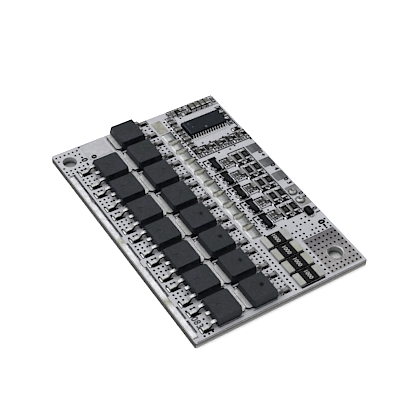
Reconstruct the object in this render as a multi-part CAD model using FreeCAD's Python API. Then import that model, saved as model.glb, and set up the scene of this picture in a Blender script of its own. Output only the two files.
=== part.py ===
import FreeCAD, Part
import os
import math

# Battery management board, all lengths in millimetres.
# Board coordinates: x runs along the short side (0 at the left edge), y along
# the long side (0 at the near edge).  The row's origin is the centre of the
# board's underside, +X along the short side, +Y along the long side, +Z up.

os.makedirs("parts", exist_ok=True)

# ---------------------------------------------------------------- dimensions
BOARD_W = 43.0            # short side
BOARD_L = 60.0            # long side
BOARD_T = 1.6             # laminate thickness
CORNER_R = 0.35           # routed corners
HOLE_R = 1.6              # M3 clearance holes
HOLES = [(2.7, 56.35), (38.3, 5.0)]

TOP = BOARD_T             # every component stands on this plane

# power transistors
FET_PITCH = 7.5
FET_Y0 = 4.4             # centre of the nearest pair
N_LEFT = 7
N_RIGHT = 8
FET_D = 6.0               # body length across the board, at the parting line
FET_E = 6.5               # body width along the board, at the parting line
FET_H = 2.3               # body height
FET_SPLIT = 0.95          # parting line above the board
FET_DRAFT_X = 0.15        # draft of the upper half, across and along the board
FET_DRAFT_Y = 0.36
FET_DRAFT_LOW = 0.10
FET_CORNER = 0.45         # chamfered upright corners at the tab's side
# each part sits a little off its column's line, as reflow left it
LEFT_DX = [0.15, 0.07, 0.08, 0.16, 0.22, 0.18, 0.46]
RIGHT_DX = [-0.02, -0.14, -0.14, -0.03, -0.07, -0.02, 0.18, 0.22]
LEFT_X = 5.85             # lead side of the left bodies
RIGHT_X = 20.6            # lead side of the right bodies
TAB_W = 5.3
TAB_T = 0.5
TAB_OUT = 1.15            # drain tab beyond the body
LEAD_W = 0.76
LEAD_T = 0.5
LEAD_PITCH = 2.286
LEAD_TOP = 1.32           # upper face of the lead shoulder
STUB_OUT = 0.95           # reach of the cut middle lead
FOOT_END = 3.05           # reach of the feet beyond the body
DIMPLE_R = 0.5
DIMPLE_D = 0.08

# solder lands and bars
LAND_T = 0.06
BAR_X = (0.05, 1.27)
BAR_Y = (1.0, 52.0)
BAR_H = 0.32
BUS_X = (24.65, 27.45)
BUS_Y = (16.6, 53.9)
BUS_H = 0.75
BUS_FLAT_Y = (54.2, 58.2)

# controller chip
IC_C = (35.5, 51.88)
IC_L = 10.05
IC_W = 4.45
IC_H = 1.2
IC_GAP = 0.1
IC_N = 14
IC_PITCH = 0.672
IC_SPAN = 6.65
IC_LEAD_W = 0.24
IC_LEAD_T = 0.14

# shunt resistors (2512 size)
SHUNT_L = 6.4
SHUNT_W = 3.2
SHUNT_T = 0.6
SHUNT_CAP = 1.5
SHUNT_X = 29.42
SHUNT_Y = [14.25, 10.4, 6.55, 2.7]

# balancing channels
CH_N = 5
CH_PITCH = 4.67
SOT_C = (30.42, 38.85)
SOT_PITCH = 4.95
SOT_L = 2.9
SOT_W = 1.3
SOT_H = 1.05
RES_L = 3.1               # 1206 size
RES_W = 1.5
RES_T = 0.55
RES_CAP = 0.5
RES_X = (36.19, 38.29)
RES_Y = 38.85

# 0603 parts: length, width, height
R_SIZE = (1.6, 0.8, 0.45)
C_SIZE = (1.75, 0.88, 0.8)
THIN_SIZE = (1.5, 0.58, 0.4)
CHIP_CAP = 0.33
# 0805 capacitors
BIG_L = 2.0
BIG_W = 1.2
BIG_H = 0.9
BIG_CAP = 0.42
BIG = [(36.21, 58.3), (37.61, 58.3), (39.03, 58.3), (40.43, 58.3)]

# (x, y, along) of the small chips, along is "x" or "y"
CHIP_R = [(30.15, 58.55, "y"), (31.3, 58.55, "y"), (33.95, 58.75, "x"),
          (34.55, 57.3, "x"), (42.15, 58.3, "y"),
          (30.78, 44.7, "y"), (33.63, 44.7, "y"), (36.48, 44.7, "y"),
          (39.33, 44.7, "y"), (42.18, 44.7, "y"),
          (29.35, 57.2, "x"), (29.35, 54.4, "x"), (29.35, 51.9, "x"),
          (29.35, 50.7, "x"), (29.35, 48.3, "x"), (29.35, 46.95, "x"),
          (41.6, 54.6, "y"), (41.6, 50.2, "y"), (41.5, 47.15, "x")]
CHIP_C = [(32.4, 58.3, "y"),
          (29.5, 44.83, "y"), (32.35, 44.83, "y"), (35.2, 44.83, "y"),
          (38.05, 44.83, "y"), (40.9, 44.83, "y"),
          (29.35, 55.7, "x"), (29.35, 53.1, "x"), (29.35, 49.5, "x"),
          (41.6, 52.4, "y")]
# chips repeated in every channel, first channel's centre
CH_THIN = [(32.62, 38.95, "y"), (33.32, 38.95, "y"),
           (35.75, 36.98, "x"), (37.93, 36.98, "x")]
CH_C = [(34.25, 39.05, "y")]

# diode at the right edge
DIO_C = (40.35, 17.3)
DIO_L = 2.1
DIO_W = 1.5
DIO_H = 0.95

# cell pads: (y low, y high)
PAD_X = (39.95, 42.8)
CELL_PADS = [(38.55, 41.15), (33.3, 35.9), (28.35, 30.95), (23.1, 25.8),
             (19.4, 22.1)]
BLOBS = [(40.95, 24.0), (40.95, 21.15)]
NEG_PAD = (34.2, 0.9, 42.35, 11.0)
OUT_PAD = (6.9, 54.75, 12.85, 59.8)

# the row's origin is under the middle of the board
OX = -BOARD_W / 2.0
OY = -BOARD_L / 2.0

V = FreeCAD.Vector


def place(s):
    s.translate(V(OX, OY, 0))
    return s


def save(name, shapes):
    if not isinstance(shapes, (list, tuple)):
        shapes = [shapes]
    solids = []
    for s in shapes:
        for q in s.Solids:
            if not q.isValid():
                q.fix(1e-4, 1e-4, 1e-4)
            if q.Volume <= 0:
                q.reverse()
            solids.append(q)
    out = solids[0].copy() if len(solids) == 1 else Part.makeCompound(solids)
    place(out)
    out.exportStep("parts/%s.step" % name)
    return out


def block(x0, y0, z0, x1, y1, z1):
    return Part.makeBox(x1 - x0, y1 - y0, z1 - z0, V(x0, y0, z0))


def rect(cx, cy, w, l, z):
    a, b = w / 2.0, l / 2.0
    return Part.makePolygon([V(cx - a, cy - b, z), V(cx + a, cy - b, z),
                             V(cx + a, cy + b, z), V(cx - a, cy + b, z),
                             V(cx - a, cy - b, z)])


def loft(wires):
    return Part.makeLoft(wires, True, True)


def moulded(cx, cy, w, l, z0, z1, split, draft_low, draft_top):
    """Moulded body: two tapered halves that meet at a parting line."""
    low = loft([rect(cx, cy, w - 2 * draft_low, l - 2 * draft_low, z0),
                rect(cx, cy, w, l, split)])
    high = loft([rect(cx, cy, w, l, split),
                 rect(cx, cy, w - 2 * draft_top, l - 2 * draft_top, z1)])
    return low.fuse(high).removeSplitter()


def tapered(cx, cy, w, l, z, sign, c):
    """Rectangle whose two corners at the tab's side are chamfered by c."""
    a, b = w / 2.0, l / 2.0
    pts = [(a, -b), (a, b), (-a + c, b), (-a, b - c), (-a, -b + c),
           (-a + c, -b)]
    out = [V(cx + sign * px, cy + py, z) for px, py in pts]
    out.append(out[0])
    return Part.makePolygon(out)


def extrude_profile(points, y0, width):
    """Closed polygon in X-Z, given as (x, z), pulled along +Y."""
    pts = [V(p[0], y0, p[1]) for p in points]
    pts.append(pts[0])
    return Part.Face(Part.makePolygon(pts)).extrude(V(0, width, 0))


# ---------------------------------------------------------------- board
board = block(0, 0, 0, BOARD_W, BOARD_L, BOARD_T)
board = board.makeFillet(CORNER_R, [e for e in board.Edges
                                    if abs(e.tangentAt(0).z) > 0.9])
for hx, hy in HOLES:
    board = board.cut(Part.makeCylinder(HOLE_R, BOARD_T + 2, V(hx, hy, -1)))
save("circuit_board", board)


# ---------------------------------------------------------------- transistors
def gull_lead(side_x, sign, yc):
    """Gull-wing lead; side_x is the body's side, sign the way it leaves."""
    def p(u, z):
        return (side_x + sign * u, TOP + z)
    t = LEAD_TOP
    b = LEAD_TOP - LEAD_T
    prof = [p(-0.8, t), p(0.92, t), p(1.10, t - 0.05), p(1.26, t - 0.19),
            p(1.62, LEAD_T + 0.17), p(1.74, LEAD_T + 0.05), p(1.90, LEAD_T),
            p(FOOT_END, LEAD_T), p(FOOT_END, 0.0), p(1.50, 0.0),
            p(1.32, 0.05), p(1.20, 0.17), p(0.90, b - 0.16),
            p(0.82, b - 0.04), p(0.70, b), p(-0.8, b)]
    return extrude_profile(prof, yc - LEAD_W / 2.0, LEAD_W)


def lead_frame(side_x, sign, yc):
    """Drain tab with its cut middle lead, and the two outer leads."""
    inner = side_x - sign * 1.6
    far = side_x - sign * (FET_D + TAB_OUT)
    x0, x1 = min(inner, far), max(inner, far)
    tab = block(x0, yc - TAB_W / 2.0, TOP, x1, yc + TAB_W / 2.0, TOP + TAB_T)
    edges = [e for e in tab.Edges if abs(e.tangentAt(0).z) > 0.9
             and abs(e.Vertexes[0].X - far) < 1e-6]
    tab = tab.makeChamfer(0.45, edges)
    stem_x = side_x - sign * 1.6
    xs = sorted([stem_x, stem_x + sign * 0.5])
    web = block(xs[0], yc - LEAD_W / 2.0, TOP, xs[1], yc + LEAD_W / 2.0,
                TOP + LEAD_TOP)
    xs = sorted([stem_x, side_x + sign * STUB_OUT])
    stub = block(xs[0], yc - LEAD_W / 2.0, TOP + LEAD_TOP - LEAD_T, xs[1],
                 yc + LEAD_W / 2.0, TOP + LEAD_TOP)
    tab = tab.fuse([web, stub]).removeSplitter()
    return [tab, gull_lead(side_x, sign, yc + LEAD_PITCH),
            gull_lead(side_x, sign, yc - LEAD_PITCH)]


def transistor(side_x, sign, yc):
    cx = side_x - sign * FET_D / 2.0
    low = loft([tapered(cx, yc, FET_D - 2 * FET_DRAFT_LOW,
                        FET_E - 2 * FET_DRAFT_LOW, TOP, sign, FET_CORNER),
                tapered(cx, yc, FET_D, FET_E, TOP + FET_SPLIT, sign,
                        FET_CORNER)])
    high = loft([tapered(cx, yc, FET_D, FET_E, TOP + FET_SPLIT, sign,
                         FET_CORNER),
                 tapered(cx, yc, FET_D - 2 * FET_DRAFT_X,
                         FET_E - 2 * FET_DRAFT_Y, TOP + FET_H, sign,
                         FET_CORNER * 0.75)])
    body = low.fuse(high)
    body = body.cut(Part.makeCylinder(
        DIMPLE_R, 1.0, V(cx + sign * 0.95, yc + 0.05, TOP + FET_H - DIMPLE_D)))
    frame = lead_frame(side_x, sign, yc)
    return body.cut(Part.makeCompound(frame)), frame


frames = []
fet_ys = [FET_Y0 + FET_PITCH * k for k in range(N_RIGHT)]
for k in range(N_LEFT):
    body, frame = transistor(LEFT_X + LEFT_DX[k], -1, fet_ys[k])
    save("mosfet_left_%d_body" % (k + 1), body)
    save("mosfet_left_%d_leads" % (k + 1), frame)
    frames += frame
for k in range(N_RIGHT):
    body, frame = transistor(RIGHT_X + RIGHT_DX[k], 1, fet_ys[k])
    save("mosfet_right_%d_body" % (k + 1), body)
    save("mosfet_right_%d_leads" % (k + 1), frame)
    frames += frame

# solder lands under and between the drain tabs
lands = []
for k in range(N_RIGHT):
    yc = fet_ys[k]
    bottom_l = LEFT_X + LEFT_DX[min(k, N_LEFT - 1)] + FET_D - FET_DRAFT_LOW
    bottom_r = RIGHT_X + RIGHT_DX[k] - FET_D + FET_DRAFT_LOW
    mid_x = (bottom_l + bottom_r) / 2.0
    y1 = yc + TAB_W / 2.0 + (1.5 if k < N_RIGHT - 1 else 0.3)
    x0 = bottom_l + 0.02 if k < N_LEFT else mid_x - 0.05
    lo = block(x0, yc - TAB_W / 2.0 - 0.12, TOP, mid_x + 0.62, y1,
               TOP + LAND_T)
    hi = block(mid_x, yc - TAB_W / 2.0 - 0.12, TOP, bottom_r - 0.02,
               yc + TAB_W / 2.0 + 0.12, TOP + LAND_T)
    land = lo.fuse(hi).removeSplitter()
    land = land.cut(Part.makeCompound(frames))
    lands += land.Solids
save("drain_solder_lands", lands)

# solder round the feet of the outer leads
joints = []
for col_x, sign, shifts in ((LEFT_X, -1, LEFT_DX), (RIGHT_X, 1, RIGHT_DX)):
    for k in range(len(shifts)):
        side_x = col_x + shifts[k]
        for s in (1, -1):
            yc = fet_ys[k] + s * LEAD_PITCH
            xs = sorted([side_x + sign * 1.45, side_x + sign * (FOOT_END + 0.4)])
            cx = (xs[0] + xs[1]) / 2.0
            w = xs[1] - xs[0]
            pad = loft([rect(cx, yc, w, LEAD_W + 0.5, TOP),
                        rect(cx, yc, w - 0.3, LEAD_W + 0.16, TOP + 0.2)])
            lead = gull_lead(side_x, sign, yc)
            joints += pad.cut(lead).Solids
save("lead_solder_joints", joints)

# ---------------------------------------------------------------- solder bars
bx = (BAR_X[0] + BAR_X[1]) / 2.0
bw = BAR_X[1] - BAR_X[0]
by = (BAR_Y[0] + BAR_Y[1]) / 2.0
bl = BAR_Y[1] - BAR_Y[0]
bar = loft([rect(bx, by, bw, bl, TOP), rect(bx, by, bw - 0.1, bl - 0.2,
                                            TOP + 0.16)])
bar = bar.fuse(loft([rect(bx, by, bw - 0.1, bl - 0.2, TOP + 0.16),
                     rect(bx, by, bw - 0.4, bl - 0.7, TOP + BAR_H)]))
save("left_solder_bar", bar.removeSplitter())

ux = (BUS_X[0] + BUS_X[1]) / 2.0
uw = BUS_X[1] - BUS_X[0]
uy = (BUS_Y[0] + BUS_Y[1]) / 2.0
ul = BUS_Y[1] - BUS_Y[0]
bus = loft([rect(ux, uy, uw, ul, TOP), rect(ux, uy, uw - 0.2, ul - 0.3,
                                            TOP + 0.4)])
bus = bus.fuse(loft([rect(ux, uy, uw - 0.2, ul - 0.3, TOP + 0.4),
                     rect(ux, uy, uw - 1.0, ul - 1.2, TOP + BUS_H)]))
save("solder_bus", bus.removeSplitter())
save("bus_end_pad", block(BUS_X[0] + 0.25, BUS_FLAT_Y[0], TOP,
                          BUS_X[1] - 0.15, BUS_FLAT_Y[1], TOP + LAND_T))

# ---------------------------------------------------------------- controller
ic = moulded(IC_C[0], IC_C[1], IC_L, IC_W, TOP + IC_GAP, TOP + IC_H,
             TOP + 0.55, 0.08, 0.10)
ic = ic.cut(Part.makeCylinder(0.4, 1.0, V(IC_C[0] - 0.35, IC_C[1] - 1.51,
                                          TOP + IC_H - 0.05)))
ic_leads = []
for row in (-1, 1):
    side = IC_C[1] + row * IC_W / 2.0
    tip = IC_C[1] + row * IC_SPAN / 2.0
    for i in range(IC_N):
        xc = IC_C[0] + (i - (IC_N - 1) / 2.0) * IC_PITCH
        t, b = 0.62, 0.62 - IC_LEAD_T
        prof = [(side - row * 0.25, t), (side + row * 0.22, t),
                (side + row * 0.30, t - 0.05),
                (side + row * 0.48, IC_LEAD_T + 0.04),
                (side + row * 0.54, IC_LEAD_T), (tip, IC_LEAD_T), (tip, 0.0),
                (side + row * 0.46, 0.0), (side + row * 0.38, 0.05),
                (side + row * 0.20, b - 0.03), (side + row * 0.14, b),
                (side - row * 0.25, b)]
        pts = [V(xc - IC_LEAD_W / 2.0, p[0], TOP + p[1]) for p in prof]
        pts.append(pts[0])
        ic_leads.append(Part.Face(Part.makePolygon(pts)).extrude(
            V(IC_LEAD_W, 0, 0)))
ic = ic.cut(Part.makeCompound(ic_leads))
save("controller_chip_body", ic)
save("controller_chip_leads", ic_leads)


# ---------------------------------------------------------------- chips
def chip(cx, cy, along, length, width, height, cap, lip=0.03):
    """Body between two end caps; the caps stand a lip proud of the body."""
    if along == "x":
        body = block(cx - length / 2.0 + cap, cy - width / 2.0 + lip,
                     TOP, cx + length / 2.0 - cap,
                     cy + width / 2.0 - lip, TOP + height - lip)
        caps = [block(cx - length / 2.0, cy - width / 2.0, TOP,
                      cx - length / 2.0 + cap, cy + width / 2.0, TOP + height),
                block(cx + length / 2.0 - cap, cy - width / 2.0, TOP,
                      cx + length / 2.0, cy + width / 2.0, TOP + height)]
    else:
        body = block(cx - width / 2.0 + lip, cy - length / 2.0 + cap,
                     TOP, cx + width / 2.0 - lip,
                     cy + length / 2.0 - cap, TOP + height - lip)
        caps = [block(cx - width / 2.0, cy - length / 2.0, TOP,
                      cx + width / 2.0, cy - length / 2.0 + cap, TOP + height),
                block(cx - width / 2.0, cy + length / 2.0 - cap, TOP,
                      cx + width / 2.0, cy + length / 2.0, TOP + height)]
    return body, caps


# shunt resistors: the ceramic is a little narrower and lower than its caps
shunt_caps = []
for k, y in enumerate(SHUNT_Y):
    body, caps = chip(SHUNT_X, y, "x", SHUNT_L, SHUNT_W, SHUNT_T, SHUNT_CAP,
                      0.04)
    save("shunt_resistor_%d" % (k + 1), body)
    shunt_caps += caps
save("shunt_end_caps", shunt_caps)

# balancing resistors
bodies, caps_all = [], []
for k in range(CH_N):
    for x in RES_X:
        body, caps = chip(x, RES_Y - CH_PITCH * k, "y", RES_L, RES_W, RES_T,
                          RES_CAP)
        bodies.append(body)
        caps_all += caps
save("balance_resistor_bodies", bodies)
save("balance_resistor_caps", caps_all)

# balancing transistors
bodies, leads = [], []
for k in range(CH_N):
    cx, cy = SOT_C[0], SOT_C[1] - SOT_PITCH * k
    mine = []
    for sx, dy in ((-1, 0.95), (-1, -0.95), (1, 0.0)):
        side = cx + sx * SOT_W / 2.0
        prof = [(side - sx * 0.2, 0.62), (side + sx * 0.14, 0.62),
                (side + sx * 0.24, 0.55), (side + sx * 0.30, 0.18),
                (side + sx * 0.36, 0.14), (side + sx * 0.58, 0.14),
                (side + sx * 0.58, 0.0), (side + sx * 0.26, 0.0),
                (side + sx * 0.18, 0.06), (side + sx * 0.12, 0.45),
                (side + sx * 0.08, 0.48), (side - sx * 0.2, 0.48)]
        mine.append(extrude_profile([(p[0], TOP + p[1]) for p in prof],
                                    cy + dy - 0.2, 0.4))
    body = moulded(cx, cy, SOT_W, SOT_L, TOP, TOP + SOT_H, TOP + 0.55, 0.06,
                   0.09)
    bodies.append(body.cut(Part.makeCompound(mine)))
    leads += mine
save("balance_transistor_bodies", bodies)
save("balance_transistor_leads", leads)

# 0805 capacitors at the far edge
bodies, caps_all = [], []
for x, y in BIG:
    body, caps = chip(x, y, "y", BIG_L, BIG_W, BIG_H, BIG_CAP)
    bodies.append(body)
    caps_all += caps
save("input_capacitor_bodies", bodies)
save("input_capacitor_caps", caps_all)

# 0603 resistors and capacitors
for name, single, repeated, thin, size in (
        ("resistor", CHIP_R, [], CH_THIN, R_SIZE),
        ("capacitor", CHIP_C, CH_C, [], C_SIZE)):
    spots = [(x, y, a, size) for x, y, a in single]
    for k in range(CH_N):
        spots += [(x, y - CH_PITCH * k, a, size) for x, y, a in repeated]
        spots += [(x, y - CH_PITCH * k, a, THIN_SIZE) for x, y, a in thin]
    bodies, caps_all = [], []
    for x, y, a, (cl, cw, ch) in spots:
        body, caps = chip(x, y, a, cl, cw, ch, CHIP_CAP)
        bodies.append(body)
        caps_all += caps
    save("chip_%s_bodies" % name, bodies)
    save("chip_%s_caps" % name, caps_all)

# diode with two flat terminals
dx, dy = DIO_C
terms = []
for s in (-1, 1):
    ys = sorted([dy + s * (DIO_L / 2.0 - 0.35), dy + s * (DIO_L / 2.0 + 0.45)])
    terms.append(block(dx - 0.45, ys[0], TOP, dx + 0.45, ys[1], TOP + 0.22))
dio = moulded(dx, dy, DIO_W, DIO_L, TOP, TOP + DIO_H, TOP + 0.4, 0.05, 0.08)
save("diode_body", dio.cut(Part.makeCompound(terms)))
save("diode_terminals", terms)

# ---------------------------------------------------------------- tinned pads
pads = []
for k, (y0, y1) in enumerate(CELL_PADS):
    pads.append(block(PAD_X[0], y0, TOP, PAD_X[1], y1, TOP + LAND_T))
save("cell_pads", pads)

blobs = []
for x, y in BLOBS:
    s = Part.makeSphere(1.4, V(x, y, TOP + LAND_T - 1.0))
    blobs.append(s.common(block(x - 2, y - 2, TOP + LAND_T, x + 2, y + 2,
                                TOP + 1.0)))
save("cell_pad_solder", blobs)

neg = block(NEG_PAD[0], NEG_PAD[1], TOP, NEG_PAD[2], NEG_PAD[3], TOP + LAND_T)
neg = neg.cut(Part.makeCylinder(HOLE_R, 4, V(HOLES[1][0], HOLES[1][1], 0)))
save("negative_pad", neg)

out = block(OUT_PAD[0], OUT_PAD[1], TOP, OUT_PAD[2], OUT_PAD[3], TOP + LAND_T)
save("output_pad", out)
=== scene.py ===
import bpy
import bmesh
import math
import random
from mathutils import Matrix, Vector, geometry, noise


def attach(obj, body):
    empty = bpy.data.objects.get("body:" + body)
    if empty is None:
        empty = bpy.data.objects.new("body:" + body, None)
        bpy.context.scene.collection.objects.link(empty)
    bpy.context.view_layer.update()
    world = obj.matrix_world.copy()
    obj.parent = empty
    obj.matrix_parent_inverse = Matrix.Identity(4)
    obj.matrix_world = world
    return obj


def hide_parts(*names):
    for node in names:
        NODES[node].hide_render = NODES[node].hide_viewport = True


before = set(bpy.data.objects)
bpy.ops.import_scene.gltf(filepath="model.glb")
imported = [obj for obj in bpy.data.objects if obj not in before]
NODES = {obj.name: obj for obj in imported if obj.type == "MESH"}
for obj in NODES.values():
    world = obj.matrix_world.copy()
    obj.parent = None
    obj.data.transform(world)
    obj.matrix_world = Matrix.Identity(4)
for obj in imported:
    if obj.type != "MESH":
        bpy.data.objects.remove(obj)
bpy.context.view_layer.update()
rng = random.Random(7)

# Board coordinates in mm, as in the CAD: x from the left edge, y from the near
# edge, z up from the underside.  The row's origin is under the board's middle.
W, L, T = 43.0, 60.0, 1.6
OX, OY = -W / 2.0, -L / 2.0
HOLES = [(2.7, 56.35), (38.3, 5.0)]
HOLE_R = 1.6
VIA_R = 0.25
FET_Y = [4.4 + 7.5 * k for k in range(8)]
LEFT_X, RIGHT_X = 5.85, 20.6
LEFT_DX = [0.15, 0.07, 0.08, 0.16, 0.22, 0.18, 0.46]
RIGHT_DX = [-0.02, -0.14, -0.14, -0.03, -0.07, -0.02, 0.18, 0.22]
IC = (35.5, 51.88)
SOT = (30.42, 38.85)


def m3(x, y, z):
    return ((x + OX) * 0.001, (y + OY) * 0.001, z * 0.001)


# ------------------------------------------------------------------ materials
class Mat:
    """A node material on a Principled shader, textured in object metres."""

    def __init__(self, name, rough=0.5, metal=0.0, spec=0.5):
        self.m = bpy.data.materials.new(name)
        self.m.use_nodes = True
        self.t = self.m.node_tree
        self.t.nodes.clear()
        out = self.n("ShaderNodeOutputMaterial")
        self.b = self.n("ShaderNodeBsdfPrincipled")
        self.t.links.new(self.b.outputs[0], out.inputs[0])
        self.b.inputs["Roughness"].default_value = rough
        self.b.inputs["Metallic"].default_value = metal
        self.b.inputs["Specular IOR Level"].default_value = spec
        self.obj = self.n("ShaderNodeTexCoord").outputs["Object"]

    def n(self, kind, **props):
        node = self.t.nodes.new(kind)
        for k, v in props.items():
            setattr(node, k, v)
        return node

    def link(self, a, b):
        self.t.links.new(a, b)

    def vec(self, scale=(1, 1, 1), rot=(0, 0, 0), loc=(0, 0, 0)):
        n = self.n("ShaderNodeMapping")
        n.inputs["Scale"].default_value = scale
        n.inputs["Rotation"].default_value = rot
        n.inputs["Location"].default_value = loc
        self.link(self.obj, n.inputs["Vector"])
        return n.outputs[0]

    def noise(self, scale, detail=3.0, rough=0.55, vec=None, dist=0.0):
        n = self.n("ShaderNodeTexNoise")
        n.inputs["Scale"].default_value = scale
        n.inputs["Detail"].default_value = detail
        n.inputs["Roughness"].default_value = rough
        n.inputs["Distortion"].default_value = dist
        self.link(vec or self.obj, n.inputs["Vector"])
        return n.outputs["Fac"]

    def voronoi(self, scale, vec=None, feature="F1"):
        n = self.n("ShaderNodeTexVoronoi", feature=feature)
        n.inputs["Scale"].default_value = scale
        self.link(vec or self.obj, n.inputs["Vector"])
        return n.outputs["Distance"]

    def wave(self, scale, direction="X", dist=0.0, vec=None):
        n = self.n("ShaderNodeTexWave", bands_direction=direction)
        n.inputs["Scale"].default_value = scale
        n.inputs["Distortion"].default_value = dist
        self.link(vec or self.obj, n.inputs["Vector"])
        return n.outputs["Fac"]

    def axis(self, k, lo, hi):
        """0 to 1 as object coordinate k goes from lo to hi, in board mm."""
        s = self.n("ShaderNodeSeparateXYZ")
        self.link(self.obj, s.inputs[0])
        r = self.n("ShaderNodeMapRange")
        off = (OX, OY, 0.0)[k]
        r.inputs["From Min"].default_value = (lo + off) * 0.001
        r.inputs["From Max"].default_value = (hi + off) * 0.001
        self.link(s.outputs[k], r.inputs["Value"])
        return r.outputs[0]

    def flat(self, lo, hi):
        """0 on upright faces, 1 on faces that look up or down."""
        g = self.n("ShaderNodeNewGeometry")
        s = self.n("ShaderNodeSeparateXYZ")
        self.link(g.outputs["Normal"], s.inputs[0])
        a = self.n("ShaderNodeMath", operation="ABSOLUTE")
        self.link(s.outputs[2], a.inputs[0])
        r = self.n("ShaderNodeMapRange")
        r.inputs["From Min"].default_value = lo
        r.inputs["From Max"].default_value = hi
        self.link(a.outputs[0], r.inputs["Value"])
        return r.outputs[0]

    def ramp(self, fac, *stops, interp="LINEAR"):
        n = self.n("ShaderNodeValToRGB")
        n.color_ramp.interpolation = interp
        e = n.color_ramp.elements
        while len(e) < len(stops):
            e.new(0.5)
        for el, (p, c) in zip(e, stops):
            el.position = p
            el.color = (c, c, c, 1) if isinstance(c, (int, float)) else (*c, 1)
        self.link(fac, n.inputs[0])
        return n.outputs[0]

    def mix(self, fac, a, b, blend="MIX"):
        n = self.n("ShaderNodeMix", data_type="RGBA", blend_type=blend)
        for sock, v in ((0, fac), (6, a), (7, b)):
            if isinstance(v, (int, float)):
                n.inputs[sock].default_value = v
            elif isinstance(v, tuple):
                n.inputs[sock].default_value = (*v, 1)
            else:
                self.link(v, n.inputs[sock])
        return n.outputs[2]

    def attr(self, name):
        return self.n("ShaderNodeAttribute", attribute_name=name).outputs["Fac"]

    def color(self, sock):
        self.link(sock, self.b.inputs["Base Color"])

    def rough(self, sock):
        self.link(sock, self.b.inputs["Roughness"])

    def bump(self, *layers):
        """layers are (height socket, strength, distance in micrometres)."""
        last = None
        for h, strength, um in layers:
            n = self.n("ShaderNodeBump")
            n.inputs["Strength"].default_value = strength
            n.inputs["Distance"].default_value = um * 1e-6
            self.link(h, n.inputs["Height"])
            if last is not None:
                self.link(last, n.inputs["Normal"])
            last = n.outputs[0]
        self.link(last, self.b.inputs["Normal"])
        return self


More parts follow.
